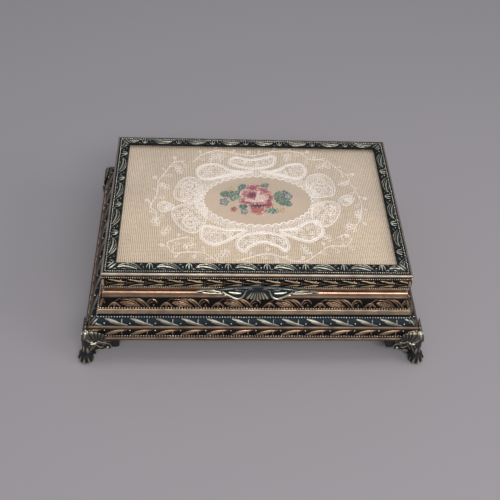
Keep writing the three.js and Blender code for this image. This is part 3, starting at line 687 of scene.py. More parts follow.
VINES = (
    ((-11.8, -42.2), (-4.5, -39.8), (2.9, -37.4), (9.3, -37.9), (17.3, -41.2), (25.5, -42.3), (32.3, -37.5),
     (40.3, -31.4), (48.8, -31.3), (53.2, -26.3), (50.8, -22.7), (44.8, -25.3)),
    ((-18.5, -43.6), (-21.7, -43), (-28.9, -37.3), (-37.9, -36.3), (-46, -37), (-49.5, -30.6), (-46.4, -28.1),
     (-38.2, -25.6)),
    ((-56.6, -16.1), (-57.1, -7.3), (-60.6, -3.5), (-57.3, 5.8), (-56.9, 16.7), (-53.3, 23.8), (-48.7, 32.5),
     (-41.7, 34.2)),
    ((-36.7, 33.6), (-31.7, 39.7), (-23.5, 43.7), (-14.3, 42.5), (-0.9, 39.9), (9.5, 43.2), (20.1, 44.6),
     (29.3, 43.1), (35.1, 37.3), (44.5, 38.3)),
    ((45.4, 36.9), (50.9, 29.7), (56.4, 24), (58.4, 15.6), (61.4, 7.4), (62.3, -0.6), (59.9, -11.2), (56.2, -17.6)),
)
# Sprigs: place, then the turn of the stem in degrees.
SPRIGS = (
    (-18.9, -38.3, 60), (-25.6, 35.4, 70), (-44.5, 25.5, 120), (40.7, 30.8, 35), (25.3, -32.9, -50),
    (20.7, 37.5, 80), (59.6, -6, -80), (-57.2, -13.6, -60), (-52, 12, 150), (52.5, 17, 20), (-36, -31.5, 200),
    (38, -24.5, -30), (-20.5, 36.5, 100), (-50.5, -20, -110), (53, -17, -40),
)
LEAF_SHAPE = ((0, 0), (0.35, 0.42), (0.75, 0.32), (1, 0), (0.75, -0.32), (0.35, -0.42))
LEAF_LENGTH = 2.6


def flowing(points, closed=False, spacing=0.55):
    """A smooth line through points, as evenly stepped points."""
    p = np.array(points, float)
    if closed:
        p = np.vstack([p[-1:], p, p[:2]])
    else:
        p = np.vstack([2 * p[:1] - p[1:2], p, 2 * p[-1:] - p[-2:-1]])
    line = []
    for a, b, c, d in zip(p, p[1:], p[2:], p[3:]):
        count = max(int(np.hypot(*(c - b)) / spacing), 2)
        t = (np.arange(count) / count)[:, None]
        pull = (3 * b - a - 3 * c + d) * t ** 3
        line.append(0.5 * (2 * b + (c - a) * t + (2 * a - 5 * b + 4 * c - d) * t ** 2 + pull))
    if not closed:
        line.append(p[-2:-1])
    return np.vstack(line)


def side_step(line, distance, closed=True):
    """The line moved to its left by a distance, one for all points or one each."""
    ahead = np.roll(line, -1, 0) - np.roll(line, 1, 0) if closed else np.gradient(line, axis=0)
    ahead /= np.maximum(np.hypot(ahead[:, 0], ahead[:, 1]), 1e-9)[:, None]
    return line + np.stack([-ahead[:, 1], ahead[:, 0]], 1) * np.reshape(distance, (-1, 1))


def run_along(line):
    """Distance along a line at each of its points."""
    return np.concatenate([[0], np.cumsum(np.hypot(*np.diff(line, axis=0).T))])


def anticlockwise(line):
    x, y = line.T
    area = np.sum(x * np.roll(y, -1) - y * np.roll(x, -1))
    return line if area > 0 else line[::-1]


def lies_inside(points, outline):
    x, y = points.T
    inside = np.zeros(len(points), bool)
    for (ax, ay), (bx, by) in zip(outline, np.roll(outline, -1, 0)):
        crosses = (ay > y) != (by > y)
        inside ^= crosses & (x < (bx - ax) * (y - ay) / (by - ay + 1e-12) + ax)
    return inside


def ring(x, y, radius, sides=8, turn=0):
    return np.array([x, y]) + radius * around(np.arange(sides) * 2 * math.pi / sides + turn)


def scatter(x, y):
    """An even-looking but fixed number from 0 to 1 for each place."""
    return np.mod(np.sin(x * 12.9898 + y * 78.233) * 43758.5453, 1)


def looped_filling(outline, pitch, margin):
    """Loose loops of thread inside an outline, uneven in size and place as knotted lace is."""
    low, high = outline.min(0), outline.max(0)
    rows = np.arange(low[1], high[1], pitch * 0.866)
    places = np.array([(x + (i % 2) * pitch / 2, y) for i, y in enumerate(rows)
                       for x in np.arange(low[0], high[0], pitch)])
    chance = scatter(places[:, 0], places[:, 1])
    places = places + 0.28 * pitch * around(chance * 2 * math.pi)
    kept = lies_inside(places, side_step(outline, margin)) & (chance > 0.1)
    return [ring(x, y, pitch * (0.3 + 0.24 * share), 7, 6 * share)
            for (x, y), share in zip(places[kept], chance[kept])]


def volute(outline):
    """A spiral cord that winds from a lobe's rim to the middle of its rounder end."""
    middle = outline.mean(0)
    reach = np.hypot(*(outline - middle).T)
    far = outline[int(np.argmax(reach))]
    turn = np.linspace(0, 3.4 * math.pi, 70)
    radius = 0.5 * reach.min() * (1.25 - turn / turn[-1])
    start = math.atan2(*(middle - far)[::-1])
    return middle + 0.35 * (far - middle) + radius[:, None] * around(turn + start)


def rings_along(line, pitch, radius):
    run = run_along(line)
    places = np.arange(pitch / 2, run[-1], pitch)
    return [ring(np.interp(s, run, line[:, 0]), np.interp(s, run, line[:, 1]), radius) for s in places]


def lace_leaf(x, y, degrees, outlines=1):
    """A small woven leaf: its outline and, as a second one, the threads along it."""
    c, s = around(math.radians(degrees))
    shape = np.array(LEAF_SHAPE) * LEAF_LENGTH
    return [np.array([x, y]) + (shape * [1, narrow]) @ np.array([[c, s], [-s, c]]) for narrow in (1, 0.45)[:outlines]]


def vine_leaves(vine):
    """Stalks with a leaf or a small ring at their tips, by turns on both sides of a vine."""
    threads = []
    run = run_along(vine)
    heading = np.degrees(np.arctan2(*np.gradient(vine, axis=0).T[::-1]))
    for i, place_on in enumerate(np.arange(2.5, run[-1], 4.6)):
        k = min(int(np.searchsorted(run, place_on)), len(vine) - 1)
        side = 1 if i % 2 else -1
        lean = heading[k] + side * (48 + 14 * math.sin(i * 2.3))
        tip = vine[k] + (2.9 + 0.6 * math.sin(i * 1.7)) * around(math.radians(lean))
        threads.append(np.vstack([vine[k], tip]))
        threads += [ring(*tip, 0.7, 6)] if i % 4 == 1 else lace_leaf(*tip, lean + side * 20, 1 + i % 2)
    return threads


def lace_lines():
    """Lines of the outline cords and of the fine threads; all but the vines and stems are closed."""
    pitch = bpy.context.scene.trinket_lace.ring_pitch / MM
    angle = np.linspace(0, 2 * math.pi, 360, endpoint=False)
    oval = OVAL_CENTRE + around(angle) * OVAL_REACH
    scallop = np.abs(np.sin(angle * 21))
    cords = [side_step(oval, -0.9 + 1.3 * scallop)]
    threads = [side_step(oval, -1.2 + 1.1 * scallop), side_step(oval, -1.5 + 0.3 * scallop)]
    for inset, spacing, radius in ((2.3, 1.5, 0.55), (3.7, 1.7, 0.5), (5.0, 1.9, 0.6)):
        threads += rings_along(side_step(oval, -inset), spacing, radius)
    stems = []
    for points in LOBES:
        outline = anticlockwise(flowing(points, True))
        picot = np.abs(np.sin(run_along(outline) * math.pi / 1.9))
        cords.append(side_step(outline, -0.1 - 0.25 * picot))
        threads += [side_step(outline, -0.95 * picot), side_step(outline, 0.5 + 0.3 * picot)]
        if abs(outline[:, 1].mean() - OVAL_CENTRE[1]) > 15:
            cords += [side_step(outline, 0.42), side_step(outline, 0.95)]
        threads += looped_filling(outline, pitch, 1.0)
        stems.append(volute(outline))
    for points in VINES:
        stems.append(flowing(points))
        threads += vine_leaves(stems[-1])
    for x, y, turn in SPRIGS:
        middle, step = np.array([x, y]), around(math.radians(turn))
        base = middle - 2.6 * step
        stems.append(flowing([base, middle, middle + 2.4 * step]))
        for share, lean in ((0.25, 60), (0.45, -60), (0.75, 55), (0.95, -50), (1.0, 0)):
            threads += lace_leaf(*(base + 5 * share * step), turn + lean)
    return cords, threads, stems


def thread_piece(name, lines, closed, radius, level, sides=0):
    """Round thread laid along lines on the cloth, under the glass."""
    curve = bpy.data.curves.new(name, "CURVE")
    curve.dimensions = "3D"
    curve.bevel_depth = radius * MM
    curve.bevel_resolution = sides
    curve.use_fill_caps = True
    for line in lines:
        spline = curve.splines.new("POLY")
        spline.points.add(len(line) - 1)
        flat = np.column_stack([line * MM, np.full(len(line), level * MM), np.ones(len(line))])
        spline.points.foreach_set("co", flat.astype(np.float32).ravel())
        spline.use_cyclic_u = closed
    piece = bpy.data.objects.new(name, curve)
    bpy.context.scene.collection.objects.link(piece)
    activate(piece)
    bpy.ops.object.convert(target="MESH")
    round_faces(piece)
    return piece


def cotton_material(name, colour, shade, pitch, depth):
    """Unbleached woven cotton, yellowed in patches: a fine net of ribs with small gaps painted in a darker colour,
    which is painted shade in the weave's hollows over its bump.
    """
    finish, tree = new_material(name)
    coordinates = add_node(tree, "TexCoord", {}, "Object")

    def wave(axis, period):
        along = add_node(tree, "SeparateXYZ", {"Vector": coordinates}, axis)
        turns = add_node(tree, "Math", {"operation": "MULTIPLY", 0: along, 1: 2 * math.pi / period})
        return add_node(tree, "Math", {"operation": "SINE", 0: turns})

    across, down = wave("X", pitch), wave("Y", pitch * 0.86)
    ribs = add_node(tree, "Math", {"operation": "MULTIPLY_ADD", 0: down, 1: 0.75, 2: across})
    uneven = add_node(tree, "TexNoise", {"Scale": 0.9 / pitch, "Detail": 3, "Vector": coordinates})
    loose = add_node(tree, "Math", {"operation": "MULTIPLY_ADD", 0: uneven, 1: 2, 2: -1})
    net = add_node(tree, "Math", {"operation": "ADD", 0: ribs, 1: loose})
    gap = add_node(tree, "MapRange", {"Value": net, "From Max": 0.6})
    # The gaps take the darker colour: painted shade between the ribs.
    woven = add_node(tree, "Mix", {"data_type": "RGBA", "Factor": gap, 6: colour, 7: shade}, 2)
    stain = add_node(tree, "TexNoise", {"Scale": 1 / (34 * MM), "Detail": 3, "Vector": coordinates})
    cloth = toned(tree, woven, stain, (0.35, 0.7), (0.9, 1.05))
    return surface(finish, cloth, {"Roughness": 0.85, "Sheen Weight": 0.15}, net, 0.6, depth, invert=True)


def thread_material(name, colour):
    """Twisted cotton or wool thread: matt, with a little sheen and a soft grain. It may be dyed by an attribute."""
    finish, tree = new_material(name)
    coordinates = add_node(tree, "TexCoord", {}, "Object")
    grain = add_node(tree, "TexNoise", {"Scale": 1 / (0.5 * MM), "Detail": 3, "Vector": coordinates})
    if isinstance(colour, str):
        colour = add_node(tree, "Attribute", {"attribute_name": colour}, "Color")
    yarn = toned(tree, colour, grain, (0.3, 0.7), (0.86, 1.05))
    return surface(finish, yarn, {"Roughness": 0.75, "Sheen Weight": 0.2}, grain, 0.4, 0.05)


# Dyed yarns of the rose, and its parts from back to front. Petals: place, half length, half width, turn in degrees,
# then the yarns of rim, body and core. Leaves: root, tip, half width and yarns. Florets: place, radius and yarns.
YARNS = {"wine": "6e2a46", "rose": "a64a5c", "coral": "c0716a", "pink": "d68f88", "pale": "edcfc3",
         "forest": "3c5c4e", "green": "688870", "sage": "a4b29a", "blue": "7b8389", "sky": "b9bcba",
         "slate": "56646f", "peach": "d3a880", "straw": "d9bf95"}
LEAVES = (
    (-8, 7.4, -20.6, 7.2, 3.0, "forest", "green"), (-8.6, 6.6, -14.2, 2.2, 2.0, "green", "sage"),
    (-8.4, 8.6, -6.2, 15.4, 2.7, "forest", "green"), (3.2, 12.4, 8.6, 15.8, 2.0, "green", "forest"),
    (11.2, 5.4, 19.6, 9.4, 3.2, "forest", "green"), (11.4, 4.4, 21.6, -0.9, 3.0, "green", "forest"),
    (-4.6, -1.6, -9.6, -3.2, 2.0, "forest", "green"), (4.8, -5.0, 13.4, -5.8, 2.4, "forest", "sage"),
)
FLORETS = (
    (-17.9, 1.0, 3.0, "blue", "sky"), (19.4, 6.0, 2.9, "blue", "sky"), (-6.5, -6.4, 2.3, "blue", "sky"),
    (-12.5, -4.6, 2.1, "coral", "rose"), (15.3, -4.7, 2.1, "straw", "peach"), (-14.2, 11.5, 1.9, "peach", "straw"),
    (13.2, 13.4, 2.0, "straw", "peach"),
)
PETALS = (
    (-0.9, 12.4, 4.8, 3.0, 8, "pink", "coral", "rose"), (5.2, 9.6, 4.6, 3.4, -38, "pink", "coral", "rose"),
    (-5.2, 7.6, 3.6, 4.0, -35, "pale", "pink", "coral"), (-6.0, 1.4, 3.4, 2.6, -25, "coral", "coral", "rose"),
    (8.2, 5.2, 2.8, 3.8, 12, "pink", "coral", "rose"), (7.6, -0.9, 3.4, 2.9, 40, "peach", "coral", "rose"),
    (2.2, -7.6, 2.6, 2.0, 0, "pale", "pink", "coral"), (1.0, -4.8, 4.9, 3.2, 0, "pink", "coral", "coral"),
    (1.2, 4.6, 6.8, 6.2, 12, "pink", "coral", "coral"), (0.9, -1.7, 5.4, 1.5, 6, "wine", "wine", "wine"),
    (7.4, 3.2, 2.8, 1.0, -52, "wine", "rose", "wine"), (-1.6, 6.6, 4.2, 3.3, 12, "coral", "rose", "wine"),
    (3.6, 4.0, 4.2, 3.4, 24, "pink", "pale", "pale"), (-2.8, 2.2, 4.0, 1.2, -8, "pink", "pale", "pale"),
    (1.9, 7.6, 1.0, 2.3, -18, "pale", "pale", "pale"), (-3.4, 0.3, 3.0, 0.8, -14, "coral", "rose", "rose"),
)


def local(x, y, centre_x, centre_y, degrees):
    """Points seen from a centre along a turned axis."""
    c, s = around(math.radians(degrees))
    dx, dy = x - centre_x, y - centre_y
    return dx * c + dy * s, dy * c - dx * s


def rose_yarns(x, y):
    """The yarn of each stitch, or an empty name where the canvas stays bare."""
    yarn = np.full(x.shape, "", dtype="<U8")
    chance = scatter(x, y)
    for root_x, root_y, tip_x, tip_y, half, dark, light in LEAVES:
        length = math.hypot(tip_x - root_x, tip_y - root_y)
        along, side = local(x, y, root_x, root_y, math.degrees(math.atan2(tip_y - root_y, tip_x - root_x)))
        share = along / length
        notch = 0.75 + 0.25 * np.abs(np.sin(share * 9))
        edge = half * np.sqrt(np.clip(4 * share * (1 - share), 0, 1)) * notch
        within = (share > 0) & (share < 1) & (np.abs(side) < edge * (0.8 + 0.45 * chance))
        yarn[within] = dark
        yarn[within & (np.sin(along * 2.6 + np.abs(side) * 2.2) + 0.8 * chance > 0.35)] = light
        yarn[within & (chance > 0.84)] = "sage"
        yarn[within & (chance < 0.1)] = ""
    for centre_x, centre_y, radius, outer, inner in FLORETS:
        dx, dy = x - centre_x, y - centre_y
        angle, reach = np.arctan2(dy, dx), np.hypot(dx, dy)
        within = reach < radius * (0.7 + 0.3 * np.abs(np.cos(2.5 * angle)))
        yarn[within] = outer
        yarn[within & (chance > 0.7) & (outer == "blue")] = "slate"
        yarn[within & (reach < 0.62 * radius) & (np.cos(5 * angle) + 1.6 * chance > 0.7)] = inner
        yarn[within & (chance < 0.12)] = ""
    for centre_x, centre_y, half_length, half_width, turn, rim, body, core in PETALS:
        along, side = local(x, y, centre_x, centre_y, turn)
        wave = 1 + 0.07 * np.sin(5 * np.arctan2(side, along) + centre_x)
        reach = np.hypot(along / half_length, side / half_width) / wave
        reach = reach + 0.16 * (chance - 0.5)
        yarn[reach < 1] = rim
        yarn[(reach < 1) & (reach > 0.8) & (chance > 0.62)] = "pale"
        yarn[reach < 0.8] = body
        yarn[reach < 0.45] = core
    return yarn


def rose_piece():
    """The petit-point spray: one slanting stitch, copied over every worked mesh of the canvas."""
    pitch = bpy.context.scene.trinket_lace.stitch_pitch / MM
    x, y = (g.ravel() for g in np.meshgrid(np.arange(-23, 24.5, pitch), np.arange(-10.5, 17.5, pitch)))
    yarn = rose_yarns(x, y)
    worked = yarn != ""
    x, y, yarn = x[worked], y[worked], yarn[worked]
    piece = start_piece("petit_point_rose", bpy.ops.mesh.primitive_ico_sphere_add, subdivisions=1, radius=MM)
    bpy.ops.transform.resize(value=(0.42, 0.22, 0.17))
    bpy.ops.transform.rotate(value=-QUARTER / 2, orient_axis="Z", center_override=(0, 0, 0))
    bpy.ops.object.transform_apply(location=True, rotation=True, scale=True)
    count = len(piece.data.vertices)
    copy_to(piece, np.column_stack([x, y, np.full(len(x), CANVAS_LEVEL + 0.09)]))
    shades = np.array([(*srgb(YARNS[name]), 1) for name in yarn])
    shades[:, :3] *= (0.72 + 0.5 * scatter(y, x))[:, None]
    dye = piece.data.attributes.new("dye", "FLOAT_COLOR", "POINT")
    dye.data.foreach_set("color", np.repeat(shades, count, 0).astype(np.float32).ravel())
    piece.data.materials.append(thread_material("wool_petit_point", "dye"))
    return piece


def net_piece(half_length, half_depth):
    """The net: one thin sheet with a little slack."""
    net = start_piece("cotton_net", bpy.ops.mesh.primitive_grid_add, x_subdivisions=110, y_subdivisions=70, size=1)
    x, y = (vertex_values(net)[:, :2] * (2 * half_length, 2 * half_depth)).T
    slack = 0.03 * np.sin(x / 11 + 0.6) * np.sin(y / 8)
    move_vertices(net, np.column_stack([x, y, CLOTH_LEVEL - 0.03 + slack]))
    modify(net, "SOLIDIFY", thickness=CLOTH_THICKNESS * MM, offset=-1)
    return net


def canvas_piece():
    """The oval of canvas under the rose."""
    canvas = start_piece("medallion_canvas", bpy.ops.mesh.primitive_circle_add, vertices=120, radius=1,
                         fill_type="NGON")
    edit(canvas, bpy.ops.mesh.extrude_region_move, TRANSFORM_OT_translate={"value": (0, 0, CLOTH_THICKNESS * MM)})
    edit(canvas, bpy.ops.mesh.normals_make_consistent, inside=False)
    canvas.scale = (*((reach + 1.5) * MM for reach in OVAL_REACH), 1)
    canvas.location = (OVAL_CENTRE[0] * MM, OVAL_CENTRE[1] * MM, (CANVAS_LEVEL - CLOTH_THICKNESS) * MM)
    bpy.ops.object.transform_apply(location=True, rotation=True, scale=True)
    return canvas


class TRINKET_OT_lace_panel(bpy.types.Operator):
    """Stretch the net, lay the oval canvas, the lace and the petit-point rose"""

    bl_idname = "mesh.trinket_lace_panel"
    bl_label = "Lace Panel"

    def execute(self, context):
        s = context.scene.trinket_lace
        _, high = box_mm("lace_panel")
        net = net_piece(high.x, high.y)
        net.data.materials.append(cotton_material("ribbed_cotton_net", s.net, s.net_gap_painted_shade, s.net_pitch, 0.25))
        place(net, "lid", "lace_cloth", "lace_panel")
        canvas = canvas_piece()
        # The canvas's gap colour is its own colour darkened: painted shade in the weave.
        canvas.data.materials.append(
            cotton_material("fine_cotton_canvas", s.canvas, tuple(0.82 * c for c in s.canvas), 0.5 * MM, 0.06))
        cords, threads, stems = lace_lines()
        cord, thread = s.cord_radius / MM, s.thread_radius / MM
        lace = join("cotton_lace", [
            thread_piece("outline_cords", cords, True, 0.72 * cord, CANVAS_LEVEL + 0.14, 1),
            thread_piece("filling_threads", threads, True, thread, CANVAS_LEVEL + 0.1),
            thread_piece("vine_stems", stems, False, 0.75 * cord, CLOTH_LEVEL + 0.14, 1)])
        lace.data.materials.append(thread_material("white_cotton_lace", s.lace))
        rose = rose_piece()
        for piece in (canvas, lace, rose):
            place(piece, "lid", "lace_cloth")
        return {"FINISHED"}


class TRINKET_OT_glass(bpy.types.Operator):
    """Give the lid's pane its clear finish"""

    bl_idname = "mesh.trinket_glass"
    bl_label = "Glass"

    def execute(self, context):
        finish, tree = new_material("thin_window_glass")
        clear = add_node(tree, "BsdfTransparent", {"Color": (0.985, 0.99, 0.985)})
        shine = add_node(tree, "BsdfGlossy", {"Roughness": 0.02})
        edge_on = add_node(tree, "Fresnel", {"IOR": 1.45})
        weak = add_node(tree, "Math", {"operation": "MULTIPLY", 0: edge_on, 1: 0.15})
        dress("lid_glass", close_material(finish, add_node(tree, "MixShader", {0: weak, 1: clear, 2: shine})))
        return {"FINISHED"}


def dress(node, finish):
    """Puts a finish on a frame node that stays in view."""
    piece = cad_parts[node]
    piece.data.materials.clear()
    piece.data.materials.append(finish)


# Cast feet and thumb lift


def worn_edges(piece, gain, carved):
    """Stores the larger of the carving and of how far a point stands out as the relief that the metals read."""
    points, normals = vertex_values(piece), vertex_values(piece, "normal")
    ends = np.empty(len(piece.data.edges) * 2, int)
    piece.data.edges.foreach_get("vertices", ends)
    a, b = ends.reshape(-1, 2).T

    def neighbours(values):
        total = np.zeros_like(values)
        np.add.at(total, a, values[b])
        np.add.at(total, b, values[a])
        return total

    links = neighbours(np.ones(len(points)))
    standing = np.sum((points - neighbours(points) / np.maximum(links, 1)[:, None]) * normals, 1) / MM
    for _ in range(3):
        standing = (standing + neighbours(standing)) / (1 + links)
    set_relief(piece, np.maximum(np.clip(0.1 + gain * standing, 0, 0.8), carved))


def remeshed(piece, detail):
    """Evens out a piece's faces."""
    activate(piece)
    piece.data.remesh_voxel_size = detail * MM
    bpy.ops.object.voxel_remesh()


PAW_REACH = 13.9
KNEE_HEIGHT = 9.4
# Chasing of a foot's two outer faces: three points along each line, in mm inwards from the lid's corner line and up
# from the base, then half width and height.
KNEE_STROKES = (
    ((-0.9, 2.8), (1.8, -2.6), (4.7, 1.5), 0.6, 1.2), ((4.8, 1.5), (7.8, -4.0), (11.4, 2.8), 0.65, 1.2),
    ((12.6, 3.4), (11.6, 6), (12.2, 9), 0.5, 0.9), ((-0.9, 3.4), (-1.2, 6), (-0.4, 8.4), 0.45, 0.8),
)
# Grooves between the leaf's ribs, cut the same way.
KNEE_GROOVES = (
    ((3.6, 1.4), (1.4, 4), (-0.2, 8.6), 0.4, 0.34), ((4.4, 1.8), (3.0, 5), (2.4, 9.6), 0.4, 0.34),
    ((5.0, 2.4), (5.0, 5), (5.0, 9.6), 0.4, 0.34), ((5.6, 1.8), (7.0, 5), (7.6, 9.6), 0.4, 0.34),
    ((6.6, 1.4), (9.4, 4), (10.6, 9.0), 0.4, 0.34),
)
BRACKET_STROKES = (
    ((12.7, -9.6), (12.2, -6), (9.9, -2.4), 0.45, 0.8), ((11.1, -10.4), (10.8, -7.2), (8.3, -3.2), 0.45, 0.8),
    ((9.6, -11), (9.1, -8.2), (6.6, -4.4), 0.45, 0.8), ((6.9, -6.2), (5.2, -9.2), (3.4, -7.4), 0.8, 0.7),
    ((0.9, -7.7), (1, -7.7), (1.1, -7.7), 1.0, 1.2), ((-0.9, -5.4), (-2.2, -10.6), (2.6, -10.5), 0.45, 0.8),
    ((-0.9, -5.2), (0.8, -2.8), (3.6, -5.4), 0.45, 0.8), ((10.7, -12.4), (8, -12.6), (5.4, -10.2), 0.9, 1.1),
    ((10.4, -14.4), (8.4, -15), (6.8, -13.4), 0.55, 0.8), ((-1.2, -9.4), (3.2, -12.8), (10.3, -17.2), 0.4, 0.55),
    ((-1.4, -2.0), (4, -0.6), (8.4, -3.4), 0.4, 0.6),
)


def spread_knee(points):
    """Widens the knee leaf towards its top, which is broad, nearly straight and serrated."""
    x, y, z = points.T
    share = (z - BASE_LOW) / KNEE_HEIGHT
    outer = np.maximum(x, y)
    fold = np.abs(x - y)
    wider = np.interp(share, (0.2, 0.45, 0.65, 0.85, 1), (1, 1.14, 1.38, 2.1, 3.4))
    knee = outer > 9
    inner = np.where(knee, outer - fold * wider, np.minimum(x, y))
    notch = 0.35 * np.abs(np.sin(fold * wider * 1.25)) * np.clip(share * 2 - 1, 0, 1)
    lowered = np.where(knee, 1.7 * np.clip(share, 0, 1) ** 1.5, 0)
    x, y = np.where(x > y, x, inner), np.where(x > y, inner, y)
    slope = 0.6 * lowered
    return np.column_stack([x + np.where(x > y, slope, 0), y + np.where(x > y, 0, slope),
                            z - lowered - np.where(knee, notch, 0)])


def chased_height(points, normals):
    """How far the carving raises each point of a foot, as a share of its depth: 0 at its ground, 1 at its crests."""
    x, y, z = points.T
    outer, inner = np.maximum(x, y), np.minimum(x, y)
    up = z - BASE_LOW
    facing = np.clip((np.where(x > y, normals[:, 0], normals[:, 1]) - 0.1) / 0.3, 0, 1)
    height = np.zeros(len(x))
    for strokes, region in ((KNEE_STROKES, (up > -3.6) & (outer > 9)), (BRACKET_STROKES, (up < -0.8) & (outer > 11))):
        near = np.nonzero(region & (inner > -4))[0]
        for line in strokes:
            found = stroke_height(inner[near], up[near], line, (1, 1)) * facing[near]
            height[near] = np.maximum(height[near], found)
    leaf = (outer > 9) & (up > 1.2) & (inner > -1)
    cut = np.zeros(len(x))
    near = np.nonzero(leaf)[0]
    for line in KNEE_GROOVES:
        cut[near] = np.maximum(cut[near], stroke_height(inner[near], up[near], line, (1, 1)))
    height[leaf] = np.maximum(height, 0.34 + 0.3 * np.clip((up - 6.2) / 1.5, 0, 1) - 1.2 * cut)[leaf]
    outward, side = (x + y) / math.sqrt(2), (x - y) / math.sqrt(2)
    angle = np.arctan2(side, outward - PAW_REACH * math.sqrt(2))
    flutes = 0.9 * np.abs(np.cos(angle * 5)) ** 5 * np.clip((8.4 - z) / 6, 0, 1) * (np.cos(angle) > -0.3)
    paw = (z < 8.2) & (outward > 15)
    height[paw] = flutes[paw]
    shin = (z >= 7.5) & (up < -3.4) & (outward > 17) & (inner > 10.4)
    height[shin] = (0.7 * np.abs(np.cos(side * 1.25)) ** 2 * np.sin(np.pi * (z - 7) / (BASE_LOW - 10)))[shin]
    return height


def cast_foot(corner, signs, metal):
    """One foot: its frame solid with a broader knee and chasing, worked with x and y outwards from the corner."""
    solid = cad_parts[f"foot_{corner}"]
    piece = bpy.data.objects.new(f"claw_foot_{corner}", solid.data.copy())
    bpy.context.scene.collection.objects.link(piece)
    piece.data.materials.clear()
    edit(piece, bpy.ops.mesh.remove_doubles, threshold=0.01 * MM)
    flip = np.array([*signs, 1])
    lid_corner = flip * (HALF_LENGTH, HALF_DEPTH, 0)
    remeshed(piece, 0.45)
    points = (vertex_values(piece) / MM - lid_corner) * flip
    move_vertices(piece, spread_knee(points) * flip + lid_corner)
    remeshed(piece, 0.28)
    points = (vertex_values(piece) / MM - lid_corner) * flip
    normals = vertex_values(piece, "normal") * flip
    height = chased_height(points, normals)
    standing = (0.62 * height - 0.18) * (np.abs(normals[:, 2]) < 0.96) * np.clip(points[:, 2] / 0.8, 0, 1)
    points = points + normals * standing[:, None]
    points[:, 2] = np.maximum(points[:, 2], 0)
    move_vertices(piece, points * flip + lid_corner)
    worn_edges(piece, 5, np.clip(height, 0, 1))
    smooth(piece, 60)
    piece.data.materials.append(metal)
    return piece


class TRINKET_OT_feet(bpy.types.Operator):
    """Cast and chase the four claw feet"""

    bl_idname = "mesh.trinket_feet"
    bl_label = "Claw Feet"

    def execute(self, context):
        c = context.scene.trinket_finish
        metal = aged_metal("patinated_cast_bronze", c.bronze_edge, c.bronze, 0.3, 0.45)
        for corner, signs in CORNERS.items():
            place(cast_foot(corner, signs, metal), "box", "patinated_bronze", f"foot_{corner}")
        return {"FINISHED"}


# Thumb lift: half width, then top and bottom as shares of its height, read along its half length.
LIFT_OUTLINE = np.array((
    (0, 1, 0), (0.22, 0.98, 0.05), (0.24, 0.97, 0.16), (0.27, 0.96, 0.04), (0.38, 0.92, 0.0), (0.48, 0.86, 0.13),
    (0.56, 0.8, 0.38), (0.7, 0.7, 0.44), (0.85, 0.62, 0.4), (1, 0.6, 0.46)))
SHELL_HALF = 7.0
FLUTES = 7
LIFT_DEPTH = 1.7
# Wires and leaves of the wings, in mm from the lift's middle and from its lowest line.
WING_STROKES = (
    ((6.4, 6.2), (7.4, 0.3), (11.4, 0.75), 0.5, 1.1), ((11.2, 0.75), (14.8, 1.4), (19.0, 5.2), 0.5, 1.1),
    ((9.2, 4.2), (12.2, 3.6), (15.6, 4.9), 0.7, 0.95), ((6.0, 5.6), (4.9, 7.6), (2.2, 7.3), 0.32, 0.55),
    ((16.6, 3.0), (19.0, 2.4), (21.6, 4.2), 0.6, 1.0), ((20.2, 5.0), (26.0, 6.9), (32.9, 5.2), 0.5, 1.0),
    ((19.0, 4.2), (24.6, 3.6), (30.0, 4.9), 0.36, 0.8), ((22.6, 4.6), (24.0, 5.6), (26.4, 5.6), 0.3, 0.8),
    ((9.6, 7.7), (15.0, 7.9), (21.5, 6.3), 0.28, 0.5), ((3.0, 8.3), (6.2, 8.6), (10.5, 7.8), 0.25, 0.45),
    ((7.6, 5.6), (9.4, 6.6), (12.6, 6.0), 0.3, 0.5),
)


